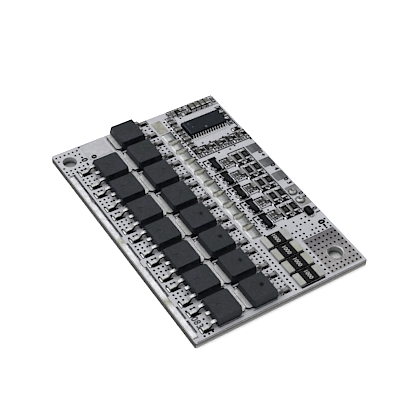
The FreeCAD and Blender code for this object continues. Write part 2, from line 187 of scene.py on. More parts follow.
def make_materials():
    M = {}
    # solder mask, satin, over the faint weave of the laminate
    m = Mat("mask_white", 0.42, 0.0, 0.5)
    big = m.noise(260, 3)
    fine = m.noise(4200, 3)
    c = m.ramp(big, (0.3, (0.435, 0.437, 0.472)), (0.7, (0.500, 0.502, 0.535)))
    c = m.mix(m.ramp(fine, (0.45, 0.0), (0.75, 0.22)), c, (0.34, 0.34, 0.37))
    m.color(c)
    m.rough(m.ramp(m.noise(900, 4), (0.3, 0.36), (0.7, 0.5)))
    m.bump((m.wave(640, "X", 0.6), 0.10, 10), (m.wave(640, "Y", 0.6), 0.10, 10),
           (m.noise(7000, 3), 0.25, 8))
    M["mask"] = m.m

    # laminate edge: pressed glass layers between two thin light skins, as a
    # painted-shade copy for the left and far sides and a lit copy for the near and
    # right sides
    for name, dark, light in (("edge_shaded", (0.018, 0.019, 0.016),
                               (0.055, 0.056, 0.048)),
                              ("edge_lit", (0.085, 0.079, 0.070),
                               (0.20, 0.19, 0.175))):
        m = Mat("laminate_" + name, 0.6, 0.0, 0.3)
        v = m.vec((260, 260, 5200))
        layer = m.noise(1.0, 5, 0.6, v)
        c = m.ramp(layer, (0.3, dark), (0.72, light))
        patch = m.noise(240, 3)
        c = m.mix(m.ramp(patch, (0.4, 0.0), (0.7, 0.55)), c,
                  tuple(0.45 * x for x in dark))
        if name == "edge_lit":
            # painted reflection of the white floor: the lit sides grow lighter towards
            # the bottom
            rise = m.ramp(m.axis(2, 0, 1.6), (0.0, (0.80, 0.79, 0.77)),
                          (0.28, (0.44, 0.43, 0.41)), (0.52, (0.22, 0.21, 0.20)),
                          (0.72, (0.10, 0.097, 0.093)), (0.84, (0.03, 0.03, 0.03)))
            c = m.mix(0.72, c, rise)
        else:
            # painted shade: darker towards the top of the left and far sides, just
            # below the skin
            under = m.ramp(m.axis(2, 0, 1.6), (0.0, 0.0), (0.55, 0.0),
                           (0.86, 0.6))
            c = m.mix(under, c, tuple(0.35 * x for x in dark))
        skin = m.ramp(m.axis(2, 0, 1.6), (0.0, 0.0), (0.88, 0.0), (0.91, 1.0))
        c = m.mix(skin, c, (0.46, 0.46, 0.48) if name == "edge_lit"
                  else (0.20, 0.20, 0.19))
        m.color(c)
        m.bump((layer, 0.7, 40), (m.noise(5200, 3), 0.4, 20))
        M[name] = m.m

    m = Mat("hole_wall", 0.42, 0.3, 0.4)
    n = m.noise(1500, 4)
    c = m.ramp(n, (0.3, (0.26, 0.258, 0.255)), (0.7, (0.38, 0.378, 0.37)))
    # painted shade: each hole's wall near black towards its lower end
    low = m.ramp(m.axis(2, 0, 1.6), (0.0, 1.0), (0.55, 0.0))
    c = m.mix(low, c, (0.045, 0.045, 0.045))
    # far hole: painted light on its upper wall, painted shade below
    far_hole = m.ramp(m.axis(1, 40, 50), (0.3, 0.0), (0.7, 1.0))
    m.color(m.mix(far_hole, c, m.mix(low, (0.58, 0.59, 0.61), (0.04, 0.04, 0.042))))
    m.rough(m.ramp(n, (0.3, 0.3), (0.7, 0.5)))
    m.bump((m.noise(2600, 3), 0.4, 20))
    M["hole_wall"] = m.m

    # via barrels near black: painted shade inside the small holes
    m = Mat("via_painted_shade", 0.6, 0.0, 0.15)
    n = m.noise(3000, 2)
    m.color(m.ramp(n, (0.3, (0.003, 0.003, 0.004)), (0.7, (0.008, 0.008, 0.010))))
    m.bump((n, 0.3, 10))
    M["via"] = m.m

    # moulded epoxy with a fine spark-eroded grain
    m = Mat("epoxy_black", 0.5, 0.0, 0.22)
    spot = m.noise(260, 4, 0.6)
    grain = m.noise(5200, 4, 0.7)
    c = m.ramp(spot, (0.34, (0.0015, 0.0095, 0.0080)), (0.50, (0.0070, 0.0105, 0.0150)),
               (0.66, (0.0160, 0.0165, 0.0330)))
    clot = m.noise(1500, 4, 0.6)
    c = m.mix(m.ramp(clot, (0.48, 0.0), (0.72, 0.7)), c, (0.0340, 0.0385, 0.0480))
    c = m.mix(m.ramp(clot, (0.34, 0.9), (0.46, 0.0)), c, (0.0010, 0.0020, 0.0035))
    c = m.mix(m.ramp(grain, (0.42, 0.0), (0.7, 0.7)), c, (0.017, 0.020, 0.026))
    m.color(c)
    m.rough(m.ramp(m.noise(1500, 4, 0.7), (0.3, 0.42), (0.7, 0.58)))
    m.bump((grain, 0.45, 9), (m.noise(1300, 3), 0.20, 16))
    M["epoxy"] = m.m

    # smoother, bluer moulding of the controller and the small transistors
    m = Mat("epoxy_fine", 0.42, 0.0, 0.10)
    grain = m.noise(7000, 3, 0.6)
    c = m.ramp(m.noise(420, 3), (0.35, (0.0020, 0.0046, 0.0085)),
               (0.65, (0.0060, 0.0105, 0.0175)))
    c = m.mix(m.ramp(grain, (0.5, 0.0), (0.72, 0.5)), c, (0.015, 0.016, 0.020))
    m.color(c)
    m.rough(m.ramp(m.noise(1800, 4), (0.3, 0.36), (0.7, 0.5)))
    m.bump((grain, 0.35, 6), (m.noise(1500, 3), 0.2, 12))
    M["epoxy_fine"] = m.m

    m = Mat("epoxy_small", 0.5, 0.0, 0.07)
    grain = m.noise(7000, 3, 0.6)
    c = m.ramp(m.noise(1.0, 3, 0.6, m.vec((2600, 500, 900))),
               (0.40, (0.0020, 0.0022, 0.0028)), (0.62, (0.0170, 0.0175, 0.0200)))
    c = m.mix(m.ramp(grain, (0.5, 0.0), (0.72, 0.5)), c, (0.010, 0.010, 0.012))
    m.color(c)
    m.rough(m.ramp(m.noise(1800, 4), (0.3, 0.42), (0.7, 0.56)))
    m.bump((grain, 0.35, 6), (m.noise(1500, 3), 0.2, 12))
    M["epoxy_small"] = m.m

    # tin plating on copper leads and tabs: brightest on the raised shoulders, duller
    # where solder has wetted it; painted shade makes the upright faces dark and the
    # right-hand leads darker
    m = Mat("tin_plate", 0.3, 0.6, 0.5)
    blot = m.noise(1100, 4, 0.65)
    streak = m.noise(1.0, 3, 0.5, m.vec((2600, 260, 900)))
    low = m.ramp(blot, (0.28, (0.34, 0.34, 0.35)), (0.6, (0.48, 0.48, 0.48)))
    low = m.mix(m.ramp(streak, (0.50, 0.0), (0.60, 0.4)), low, (0.34, 0.34, 0.35))
    high = m.ramp(blot, (0.28, (0.38, 0.38, 0.39)), (0.6, (0.50, 0.50, 0.50)))
    up = m.ramp(m.axis(2, 1.6, 3.0), (0.5, 0.0), (0.8, 1.0))
    c = m.mix(up, low, high)
    # painted shade: the right-hand leads, behind the bodies, darkened
    right_lead_shade = m.ramp(m.axis(0, 19.5, 21.5), (0.3, 0.0), (0.7, 1.0))
    c = m.mix(m.mix(right_lead_shade, (0.0, 0.0, 0.0), (0.72, 0.72, 0.72)), c,
              (0.19, 0.19, 0.20))
    # painted shade on the upright faces, darkest on the left-hand leads
    upright_shade = m.mix(right_lead_shade, (0.035, 0.033, 0.031), (0.17, 0.165, 0.16))
    c = m.mix(m.flat(0.18, 0.42), upright_shade, c)
    m.color(c)
    m.rough(m.mix(up, m.ramp(m.noise(1600, 4), (0.3, 0.44), (0.7, 0.60)),
                  m.ramp(m.noise(1600, 4), (0.3, 0.22), (0.7, 0.40))))
    m.bump((m.noise(1500, 3), 0.5, 30), (m.noise(6500, 3), 0.35, 8))
    M["tin"] = m.m

    m = Mat("tin_small", 0.3, 0.9, 0.5)
    n = m.noise(2200, 3, 0.6)
    c = m.ramp(n, (0.3, (0.36, 0.36, 0.37)), (0.65, (0.52, 0.52, 0.52)))
    # painted shade: upright faces near black
    m.color(m.mix(m.flat(0.15, 0.42), (0.03, 0.03, 0.03), c))
    m.rough(m.ramp(n, (0.3, 0.24), (0.7, 0.42)))
    m.bump((m.noise(5200, 3), 0.3, 8))
    M["tin_small"] = m.m

    # solder at the feet: a bright crest, with painted shade darkening the steep flanks
    m = Mat("solder_foot", 0.3, 0.9, 0.5)
    n = m.noise(1200, 4, 0.6)
    c = m.ramp(n, (0.3, (0.36, 0.36, 0.36)), (0.62, (0.50, 0.50, 0.49)))
    m.color(m.mix(m.flat(0.50, 0.88), (0.04, 0.04, 0.04), c))
    m.rough(m.ramp(m.noise(1400, 3), (0.3, 0.22), (0.7, 0.44)))
    m.bump((m.noise(1600, 2), 0.5, 50), (m.noise(5200, 3), 0.3, 10))
    M["solder_foot"] = m.m

    # tinned land under each lead
    m = Mat("pad_lead", 0.45, 0.15, 0.5)
    n = m.noise(900, 4, 0.6)
    m.color(m.ramp(n, (0.3, (0.34, 0.34, 0.35)), (0.7, (0.50, 0.50, 0.51))))
    m.rough(m.ramp(n, (0.3, 0.32), (0.7, 0.55)))
    m.bump((m.noise(1500, 3), 0.5, 30))
    M["pad_lead"] = m.m

    m = Mat("solder_joint", 0.28, 1.0, 0.5)
    n = m.noise(900, 4, 0.6)
    c = m.ramp(n, (0.3, (0.52, 0.52, 0.52)), (0.62, (0.84, 0.84, 0.83)))
    # painted shade: the fillets' upright faces near black
    c = m.mix(m.flat(0.10, 0.40), (0.05, 0.05, 0.05), c)
    m.color(c)
    m.rough(m.ramp(m.noise(1400, 3), (0.3, 0.16), (0.7, 0.42)))
    m.bump((m.noise(1000, 2), 0.7, 90), (m.noise(4500, 3), 0.3, 12))
    M["solder"] = m.m

    # rounded lumps on the cell pads: grey, bright only where they face up
    m = Mat("solder_lump", 0.3, 0.9, 0.5)
    n = m.noise(900, 4, 0.6)
    m.color(m.ramp(n, (0.3, (0.16, 0.16, 0.16)), (0.65, (0.34, 0.34, 0.34))))
    m.rough(m.ramp(m.noise(1400, 3), (0.3, 0.22), (0.7, 0.42)))
    m.bump((m.noise(900, 2), 0.6, 90), (m.noise(4500, 3), 0.3, 12))
    M["solder_lump"] = m.m

    # bright fine leads of the controller
    m = Mat("tin_fine", 0.4, 0.2, 0.5)
    n = m.noise(2200, 3, 0.6)
    c = m.ramp(n, (0.3, (0.58, 0.58, 0.59)), (0.65, (0.76, 0.76, 0.76)))
    # painted shade: the leads' upright faces near black
    m.color(m.mix(m.flat(0.05, 0.25), (0.03, 0.03, 0.03), c))
    m.rough(m.ramp(n, (0.3, 0.34), (0.7, 0.5)))
    m.bump((m.noise(5200, 3), 0.3, 8))
    M["tin_fine"] = m.m

    # floors of the moulding dimples
    m = Mat("dimple_floor", 0.7, 0.0, 0.10)
    n = m.noise(2600, 3, 0.6)
    m.color(m.ramp(n, (0.3, (0.0035, 0.0045, 0.0055)), (0.7, (0.0070, 0.0085, 0.0105))))
    m.bump((n, 0.25, 20))
    M["dimple"] = m.m

    # worn plated lip of the tinned hole
    m = Mat("plated_lip", 0.36, 0.85, 0.5)
    n = m.noise(1100, 4, 0.6)
    m.color(m.ramp(n, (0.3, (0.28, 0.28, 0.28)), (0.7, (0.44, 0.44, 0.44))))
    m.rough(m.ramp(n, (0.3, 0.28), (0.7, 0.46)))
    m.bump((m.noise(1500, 3), 0.4, 30))
    M["lip"] = m.m

    # hand-laid solder: bright pools with a painted highlight along the left edge and in
    # patches, dull skin, flux-stained ridges and painted shade in the hollows
    m = Mat("solder_flow", 0.3, 0.85, 0.5)
    n = m.noise(700, 4, 0.6)
    c = m.ramp(n, (0.3, (0.29, 0.295, 0.295)), (0.65, (0.36, 0.365, 0.362)))
    # painted highlight along the bus's left edge and in patches on its left half
    c = m.mix(m.attr("highlight_paint"), c, (0.50, 0.50, 0.50))
    c = m.mix(m.attr("flux"), c, (0.138, 0.132, 0.100))
    # painted shade: near black in the hollows between the ridges, along their rims and
    # the right shore
    c = m.mix(m.attr("painted_shade"), c, (0.020, 0.020, 0.023))
    m.color(c)
    m.rough(m.ramp(m.noise(900, 3), (0.3, 0.36), (0.7, 0.52)))
    m.bump((m.noise(800, 2), 0.25, 50), (m.noise(3600, 3), 0.2, 12))
    M["solder_flow"] = m.m

    # the bar along the left edge: one wide silvery run with soft blotches
    m = Mat("solder_bar", 0.4, 0.8, 0.5)
    n = m.noise(420, 4, 0.6)
    c = m.ramp(n, (0.3, (0.41, 0.41, 0.425)), (0.65, (0.49, 0.49, 0.505)))
    c = m.mix(m.attr("flux"), c, (0.205, 0.212, 0.145))
    # painted shade along the bar's right rim
    c = m.mix(m.attr("painted_shade"), c, (0.10, 0.10, 0.105))
    m.color(c)
    m.rough(m.ramp(m.noise(900, 3), (0.3, 0.34), (0.7, 0.5)))
    m.bump((m.noise(700, 2), 0.25, 50), (m.noise(3600, 3), 0.2, 12))
    M["solder_bar"] = m.m

    # dull tinned copper areas
    def pad(name, dark, light, rough):
        m = Mat(name, rough, 0.75, 0.5)
        n = m.noise(520, 5, 0.65)
        c = m.ramp(n, (0.3, dark), (0.7, light))
        m.rough(m.ramp(m.noise(1300, 4), (0.3, rough - 0.1), (0.7, rough + 0.1)))
        m.bump((m.noise(1700, 4), 0.5, 22), (m.noise(6000, 3), 0.35, 8))
        return m, c

    m, c = pad("pad_cell", (0.080, 0.082, 0.090), (0.150, 0.150, 0.158), 0.5)
    side = m.ramp(m.axis(0, 39.95, 42.8), (0.30, 0.0), (0.55, 0.75))
    c = m.mix(side, c, (0.048, 0.052, 0.057))
    tin = m.ramp(m.axis(1, 19, 31), (0.42, 0.75), (0.60, 0.12), (0.98, 0.11),
                 (1.0, 0.0))
    c = m.mix(tin, c, (0.30, 0.30, 0.30))
    m.color(c)
    M["pad_cell"] = m.m

    m, c = pad("pad_negative", (0.22, 0.21, 0.215), (0.35, 0.34, 0.335), 0.5)
    near = m.ramp(m.axis(1, 11, 0.9), (0.1, 0.85), (0.75, 0.0))
    c = m.mix(near, c, (0.105, 0.10, 0.11))
    m.color(c)
    M["pad_negative"] = m.m

    m, c = pad("pad_output", (0.33, 0.33, 0.345), (0.365, 0.365, 0.38), 0.45)
    m.color(c)
    M["pad_output"] = m.m

    m, c = pad("pad_bus_end", (0.17, 0.165, 0.135), (0.36, 0.35, 0.31), 0.5)
    m.color(c)
    M["pad_bus_end"] = m.m

    # plated end caps: dull on top, with painted shade darkening the upright faces
    m = Mat("cap_metal", 0.45, 0.85, 0.5)
    n = m.noise(1000, 4, 0.6)
    c = m.ramp(n, (0.3, (0.20, 0.20, 0.21)), (0.65, (0.42, 0.42, 0.425)))
    c = m.mix(m.flat(0.15, 0.5), (0.03, 0.03, 0.03), c)
    m.color(c)
    m.rough(m.ramp(m.noise(1500, 3), (0.3, 0.34), (0.7, 0.55)))
    m.bump((m.noise(1500, 3), 0.6, 40), (m.noise(5200, 3), 0.4, 10))
    M["cap"] = m.m

    m = Mat("cap_shunt", 0.5, 0.35, 0.5)
    n = m.noise(360, 4, 0.6)
    c = m.ramp(n, (0.32, (0.31, 0.315, 0.30)), (0.68, (0.39, 0.395, 0.38)))
    olive = m.ramp(m.noise(120, 1), (0.52, 0.0), (0.66, 0.5))
    c = m.mix(olive, c, (0.30, 0.31, 0.22))
    m.color(c)
    m.rough(m.ramp(m.noise(1200, 3), (0.3, 0.42), (0.7, 0.6)))
    m.bump((m.noise(1400, 4), 0.4, 20), (m.noise(6000, 3), 0.3, 8))
    M["cap_shunt"] = m.m

    m = Mat("glaze_black", 0.45, 0.0, 0.07)
    n = m.noise(1500, 4)
    m.color(m.ramp(n, (0.3, (0.0030, 0.0030, 0.0035)), (0.7, (0.008, 0.008, 0.009))))
    m.rough(m.ramp(n, (0.3, 0.34), (0.7, 0.52)))
    m.bump((m.noise(2400, 3), 0.4, 14))
    M["glaze"] = m.m

    m = Mat("glaze_chip", 0.45, 0.0, 0.09)
    n = m.noise(1500, 4)
    c = m.ramp(n, (0.3, (0.0040, 0.0042, 0.0050)), (0.7, (0.022, 0.022, 0.024)))
    far = m.ramp(m.axis(1, 56.0, 57.0), (0.0, 0.0), (1.0, 1.0))
    grey = m.ramp(m.noise(1100, 3), (0.35, (0.045, 0.046, 0.046)),
                  (0.65, (0.22, 0.22, 0.21)))
    low = m.ramp(m.axis(1, 41.0, 42.0), (0.0, 0.5), (1.0, 0.0))
    left = m.ramp(m.axis(0, 34.0, 34.6), (0.0, 1.0), (1.0, 0.0))
    c = m.mix(m.mix(1.0, low, left, "MULTIPLY"), c, grey)
    side = m.ramp(m.axis(0, 30.8, 31.2), (0.0, 1.0), (1.0, 0.0))
    upper = m.ramp(m.axis(1, 46.6, 47.0), (0.0, 0.0), (1.0, 1.0))
    c = m.mix(m.mix(1.0, side, upper, "MULTIPLY"), c, grey)
    m.color(m.mix(far, c, grey))
    m.rough(m.ramp(n, (0.3, 0.38), (0.7, 0.55)))
    m.bump((m.noise(2400, 3), 0.4, 14))
    M["glaze_chip"] = m.m

    # small ceramic parts: each stands at its own shade between slate and tan
    m = Mat("ceramic_tan", 0.5, 0.0, 0.18)
    n = m.noise(310, 1)
    c = m.ramp(n, (0.34, (0.014, 0.014, 0.013)), (0.52, (0.040, 0.038, 0.030)),
               (0.66, (0.085, 0.080, 0.062)))
    c = m.mix(m.ramp(m.noise(4200, 3), (0.5, 0.0), (0.8, 0.5)), c,
              (0.05, 0.048, 0.04))
    pale = m.ramp(m.axis(1, 41.0, 42.0), (0.0, 0.8), (1.0, 0.0))
    c = m.mix(pale, c, (0.24, 0.24, 0.23))
    side = m.ramp(m.axis(0, 30.8, 31.2), (0.0, 0.85), (1.0, 0.0))
    upper = m.ramp(m.axis(1, 46.6, 47.0), (0.0, 0.0), (1.0, 1.0))
    c = m.mix(m.mix(1.0, side, upper, "MULTIPLY"), c, (0.21, 0.21, 0.205))
    m.color(c)
    m.rough(m.ramp(m.noise(1800, 3), (0.3, 0.42), (0.7, 0.6)))
    m.bump((m.noise(2600, 4), 0.4, 14))
    M["ceramic"] = m.m

    # larger capacitors of the far row, grey and olive
    m = Mat("ceramic_grey", 0.5, 0.0, 0.2)
    n = m.noise(260, 2)
    c = m.ramp(n, (0.34, (0.085, 0.086, 0.074)), (0.66, (0.17, 0.168, 0.145)))
    c = m.mix(m.ramp(m.noise(4200, 3), (0.5, 0.0), (0.8, 0.5)), c,
              (0.06, 0.058, 0.05))
    # painted shade: upright faces near black
    m.color(m.mix(m.flat(0.15, 0.5), (0.02, 0.02, 0.018), c))
    m.rough(m.ramp(m.noise(1800, 3), (0.3, 0.42), (0.7, 0.6)))
    m.bump((m.noise(2600, 4), 0.4, 14))
    M["ceramic_grey"] = m.m

    # black glaze over a white ceramic whose sides stay bare
    m = Mat("resistor_glaze", 0.45, 0.0, 0.07)
    n = m.noise(1500, 4)
    c = m.ramp(n, (0.3, (0.0025, 0.0025, 0.0030)), (0.7, (0.007, 0.007, 0.008)))
    side = m.ramp(m.noise(2600, 3), (0.3, (0.30, 0.30, 0.29)),
                  (0.7, (0.42, 0.42, 0.40)))
    m.color(m.mix(m.flat(0.2, 0.5), side, c))
    m.rough(m.ramp(n, (0.3, 0.34), (0.7, 0.52)))
    m.bump((m.noise(2400, 3), 0.4, 14))
    M["resistor"] = m.m

    m = Mat("ink_black", 0.6, 0.0, 0.05)
    n = m.noise(5200, 3)
    m.color(m.ramp(n, (0.35, (0.002, 0.002, 0.003)), (0.75, (0.008, 0.008, 0.010))))
    m.rough(m.ramp(n, (0.3, 0.5), (0.7, 0.7)))
    m.bump((n, 0.3, 5))
    M["ink"] = m.m

    m = Mat("ink_soft", 0.55, 0.0, 0.2)
    n = m.noise(700, 4, 0.65)
    m.color(m.ramp(n, (0.35, (0.022, 0.022, 0.027)), (0.68, (0.11, 0.11, 0.125))))
    m.rough(m.ramp(n, (0.3, 0.45), (0.7, 0.65)))
    m.bump((n, 0.3, 5))
    M["ink_soft"] = m.m

    m = Mat("ink_white", 0.6, 0.0, 0.3)
    n = m.noise(4200, 3)
    m.color(m.ramp(n, (0.35, (0.30, 0.30, 0.29)), (0.7, (0.52, 0.52, 0.50))))
    m.rough(m.ramp(n, (0.3, 0.5), (0.7, 0.7)))
    m.bump((n, 0.3, 5))
    M["ink_white"] = m.m

    m = Mat("ink_grey", 0.6, 0.0, 0.3)
    n = m.noise(4200, 3)
    m.color(m.ramp(n, (0.35, (0.06, 0.06, 0.06)), (0.7, (0.13, 0.13, 0.125))))
    m.rough(m.ramp(n, (0.3, 0.5), (0.7, 0.7)))
    m.bump((n, 0.3, 5))
    M["mark_grey"] = m.m

    m = Mat("mark_faint", 0.5, 0.0, 0.4)
    n = m.noise(3200, 3)
    m.color(m.ramp(n, (0.35, (0.035, 0.040, 0.050)), (0.7, (0.085, 0.092, 0.105))))
    m.rough(m.ramp(n, (0.3, 0.45), (0.7, 0.6)))
    m.bump((n, 0.3, 5))
    M["mark"] = m.m

    # floor: a white paper sweep
    m = Mat("paper", 0.75, 0.0, 0.1)
    n = m.noise(60, 3)
    c = m.ramp(n, (0.3, (0.90, 0.90, 0.90)), (0.7, (0.93, 0.93, 0.93)))
    # painted shadow on the paper below the board, as seen through its two holes
    shade_y = m.ramp(m.axis(1, 0, 60), (0.090, 0.66), (0.112, 0.10),
                     (0.45, 0.05), (0.55, 0.30), (0.956, 0.30), (0.965, 0.03))
    inx = m.ramp(m.axis(0, 0, 43), (0.0, 0.0), (0.012, 1.0), (0.988, 1.0),
                 (1.0, 0.0))
    iny = m.ramp(m.axis(1, 0, 60), (0.0, 0.0), (0.009, 1.0), (0.991, 1.0),
                 (1.0, 0.0))
    inside = m.mix(1.0, inx, iny, "MULTIPLY")
    m.color(m.mix(inside, c, shade_y))
    glow = m.mix(inside, (1.0, 1.0, 1.0), (0.0, 0.0, 0.0))
    m.link(glow, m.b.inputs["Emission Color"])
    m.b.inputs["Emission Strength"].default_value = 0.45
    m.bump((m.noise(900, 3), 0.05, 60))
    M["paper"] = m.m
    return M


MAT = make_materials()


# ------------------------------------------------------------------ helpers
def piece(name, verts, faces, mats, indices=None, smooth=None,
          replaces=(), attrs=None):
    """A mesh piece from board-mm vertices, riding on the board."""
    me = bpy.data.meshes.new(name)
    me.from_pydata([m3(*v) for v in verts], [], faces)
    me.validate()
    if not isinstance(mats, (list, tuple)):
        mats = [mats]
    for m in mats:
        me.materials.append(m)
    if indices:
        for p, i in zip(me.polygons, indices):
            p.material_index = i
    if attrs:
        for key, vals in attrs.items():
            a = me.attributes.new(key, "FLOAT", "POINT")
            a.data.foreach_set("value", vals)
    ob = bpy.data.objects.new(name, me)
    bpy.context.scene.collection.objects.link(ob)
    if smooth is not None:
        shade(ob, smooth)
    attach(ob, "root")
    if replaces:
        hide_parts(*replaces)
    return ob


def shade(ob, angle):
    """Smooth faces, with edges sharper than angle kept crisp."""
    me = ob.data
    for p in me.polygons:
        p.use_smooth = True
    bm = bmesh.new()
    bm.from_mesh(me)
    for e in bm.edges:
        e.smooth = not (len(e.link_faces) != 2 or
                        e.calc_face_angle(0.0) > math.radians(angle))
    bm.to_mesh(me)
    bm.free()


def bevel(ob, mm, segments=2, angle=35, harden=True):
    b = ob.modifiers.new("edge_round", "BEVEL")
    b.width = mm * 0.001
    b.segments = segments
    b.limit_method = "ANGLE"
    b.angle_limit = math.radians(angle)
    b.harden_normals = False
    b.use_clamp_overlap = True
    return b


class Shapes:
    """Collects many small closed shapes into one mesh."""

    def __init__(self):
        self.v = []
        self.f = []

    def add(self, verts, faces):
        k = len(self.v)
        self.v += verts
        self.f += [tuple(i + k for i in f) for f in faces]

    def box(self, x0, y0, z0, x1, y1, z1, top=0.0):
        """Box whose top is drawn in by top on each side."""
        t = top
        self.add([(x0, y0, z0), (x1, y0, z0), (x1, y1, z0), (x0, y1, z0),
                  (x0 + t, y0 + t, z1), (x1 - t, y0 + t, z1),
                  (x1 - t, y1 - t, z1), (x0 + t, y1 - t, z1)],
                 [(3, 2, 1, 0), (4, 5, 6, 7), (0, 1, 5, 4), (1, 2, 6, 5),
                  (2, 3, 7, 6), (3, 0, 4, 7)])

    def disc(self, x, y, z0, z1, r, n=16, r2=None):
        r2 = r if r2 is None else r2
        a = [2 * math.pi * i / n for i in range(n)]
        v = [(x + r * math.cos(t), y + r * math.sin(t), z0) for t in a]
        v += [(x + r2 * math.cos(t), y + r2 * math.sin(t), z1) for t in a]
        f = [tuple(reversed(range(n))), tuple(range(n, 2 * n))]
        f += [(i, (i + 1) % n, n + (i + 1) % n, n + i) for i in range(n)]
        self.add(v, f)

    def line(self, x0, y0, x1, y1, w, z0, z1):
        """A stroke of width w between two points."""
        d = Vector((x1 - x0, y1 - y0))
        d.normalize()
        q = Vector((-d.y, d.x)) * (w / 2.0)
        c = [(x0 - q.x, y0 - q.y), (x1 - q.x, y1 - q.y), (x1 + q.x, y1 + q.y),
             (x0 + q.x, y0 + q.y)]
        self.add([(x, y, z0) for x, y in c] + [(x, y, z1) for x, y in c],
                 [(3, 2, 1, 0), (4, 5, 6, 7), (0, 1, 5, 4), (1, 2, 6, 5),
                  (2, 3, 7, 6), (3, 0, 4, 7)])

    def wedge(self, cx, cy, dx, dy, half, profile):
        """Solder fillet: profile of (distance, height) from (cx, cy) along
        (dx, dy), half wide each side, a little narrower at the far end."""
        n = len(profile)
        v = []
        for s in (-1, 1):
            for u, z in profile:
                w = half * (1.0 - 0.25 * max(0.0, u) / 0.4)
                v.append((cx + dx * u - dy * s * w, cy + dy * u + dx * s * w, z))
        f = [tuple(reversed(range(n))), tuple(range(n, 2 * n))]
        f += [(i, (i + 1) % n, n + (i + 1) % n, n + i) for i in range(n)]
        k = len(self.v)
        self.v += v
        self.f += [tuple(i + k for i in q) for q in f]

    def out(self, name, mat, slot, smooth=30, replaces=()):
        ob = piece(name, self.v, self.f, mat, replaces=replaces)
        bm = bmesh.new()
        bm.from_mesh(ob.data)
        bmesh.ops.recalc_face_normals(bm, faces=bm.faces)
        bm.to_mesh(ob.data)
        bm.free()
        if smooth is not None:
            shade(ob, smooth)
        return ob


def label(name, text, x, y, z, size, turn, mat, thick=0.012, bold=0.0,
          wide=1.0):
    """Plain digits or signs as a thin closed mesh, centred at (x, y)."""
    cu = bpy.data.curves.new(name + "_curve", "FONT")
    cu.body = text
    cu.size = size * 0.001
    cu.align_x = "CENTER"
    cu.align_y = "CENTER"
    cu.extrude = thick * 0.0005
    cu.offset = bold * 0.001
    cu.resolution_u = 3
    tmp = bpy.data.objects.new(name + "_tmp", cu)
    bpy.context.scene.collection.objects.link(tmp)
    bpy.context.view_layer.update()
    me = bpy.data.meshes.new_from_object(
        tmp.evaluated_get(bpy.context.evaluated_depsgraph_get()))
    bpy.data.objects.remove(tmp)
    bpy.data.curves.remove(cu)
    me.name = name
    xs = [v.co.x for v in me.vertices]
    ys = [v.co.y for v in me.vertices]
    cx, cy = (min(xs) + max(xs)) / 2.0, (min(ys) + max(ys)) / 2.0
    px, py, pz = m3(x, y, z + thick / 2.0)
    me.transform(Matrix.Translation((px, py, pz)) @
                 Matrix.Rotation(math.radians(turn), 4, "Z") @
                 Matrix.Diagonal((wide, 1, 1, 1)) @
                 Matrix.Translation((-cx, -cy, 0)))
    me.materials.clear()
    me.materials.append(mat)
    bm = bmesh.new()
    bm.from_mesh(me)
    bmesh.ops.remove_doubles(bm, verts=bm.verts, dist=1e-8)
    bmesh.ops.recalc_face_normals(bm, faces=bm.faces)
    bm.to_mesh(me)
    bm.free()
    ob = bpy.data.objects.new(name, me)
    bpy.context.scene.collection.objects.link(ob)
    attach(ob, "root")
    return ob


# ------------------------------------------------------------------ vias
def via_list():
    v = []
    # round the output corner's hole
    v += [(x, 58.85) for x in (0.6, 1.6, 2.7, 3.75, 4.75, 5.8)]
    v += [(6.65, 59.5), (0.6, 57.6), (4.75, 57.6), (5.8, 57.6), (5.8, 56.4),
          (0.6, 55.1), (4.75, 55.1)]
    for y in (53.85, 52.85):
        v += [(x, y) for x in (1.65, 2.7, 3.75, 4.8)]
    v += [(0.6, 53.85), (0.6, 52.9)]
    # between the left transistors' feet
    for k in range(7):
        c = FET_Y[k]
        v += [(2.65, c + 3.35), (3.75, c + 3.35), (4.6, c + 3.35)]
        if k:
            v += [(2.65, c + .6), (3.7, c + .6), (4.75, c + .6),
                  (2.65, c - .4), (3.7, c - .4), (4.75, c - .65),
                  (2.65, c - 1.4), (3.7, c - 1.4), (5.35, c - .6)]
        else:
            v += [(4.62, c - .05), (4.62, c - 1.3)]
    v += [(2.5, .75), (3.6, .8), (4.6, .9)]
    # right of the right transistors
    for k in range(7):
        c = FET_Y[k]
        for x in (22.8, 23.8):
            v += [(x, c + .95), (x, c), (x, c - 1.1), (x, c + 3.7)]
    v += [(23.8, 58), (22.8, 57), (23.8, 57), (23.9, 56)]
    v += [(25.1, 1.2 + 1.02 * i) for i in range(15)]
    v += [(28.0, 16.4 + 1.02 * i) for i in range(41)]
    # round the lower right pad
    v += [(33.55, y) for y in (14, 12.7, 8.8, 7.6, 6.3, 5, 3.75, 2.45, 1.25)]
    v += [(34.6 + 1.07 * i, 11.65) for i in range(8)]
    v += [(x, 12.7) for x in (34.6, 35.7, 37.9, 38.95, 39.95, 42.1)]
    v += [(34.6, 14), (35.7, 14), (38.9, 14), (42.2, 14)]
    v += [(x, 15.25) for x in (35.7, 36.7, 37.8, 38.95)]
    v += [(x, 16.5) for x in (32.5, 33.6, 35.7, 37.8, 38.9)]
    cols = (34.6, 35.7, 36.75, 37.8, 38.9, 40, 41.1, 42.1)
    for y in (10.05, 8.8, 7.5, 6.25, 4.95, 3.65, 2.35, 1.3):
        for x in cols:
            if math.hypot(x - HOLES[1][0], y - HOLES[1][1]) > 2.3:
                v.append((x, y))
    # single ones
    v += [(32.1, 47), (33.8, 46.6), (37.3, 46.45), (38.9, 46.7), (36.5, 42.2),
          (33.6, 42.5), (38, 42.65), (42.6, 42.7), (33, 22.2), (30.6, 56.6),
          (32.1, 56.6)]
    return v


VIAS = via_list()


def circle(x, y, r, n, turn=0.0):
    return [(x + r * math.cos(turn + 2 * math.pi * i / n),
             y + r * math.sin(turn + 2 * math.pi * i / n)) for i in range(n)]


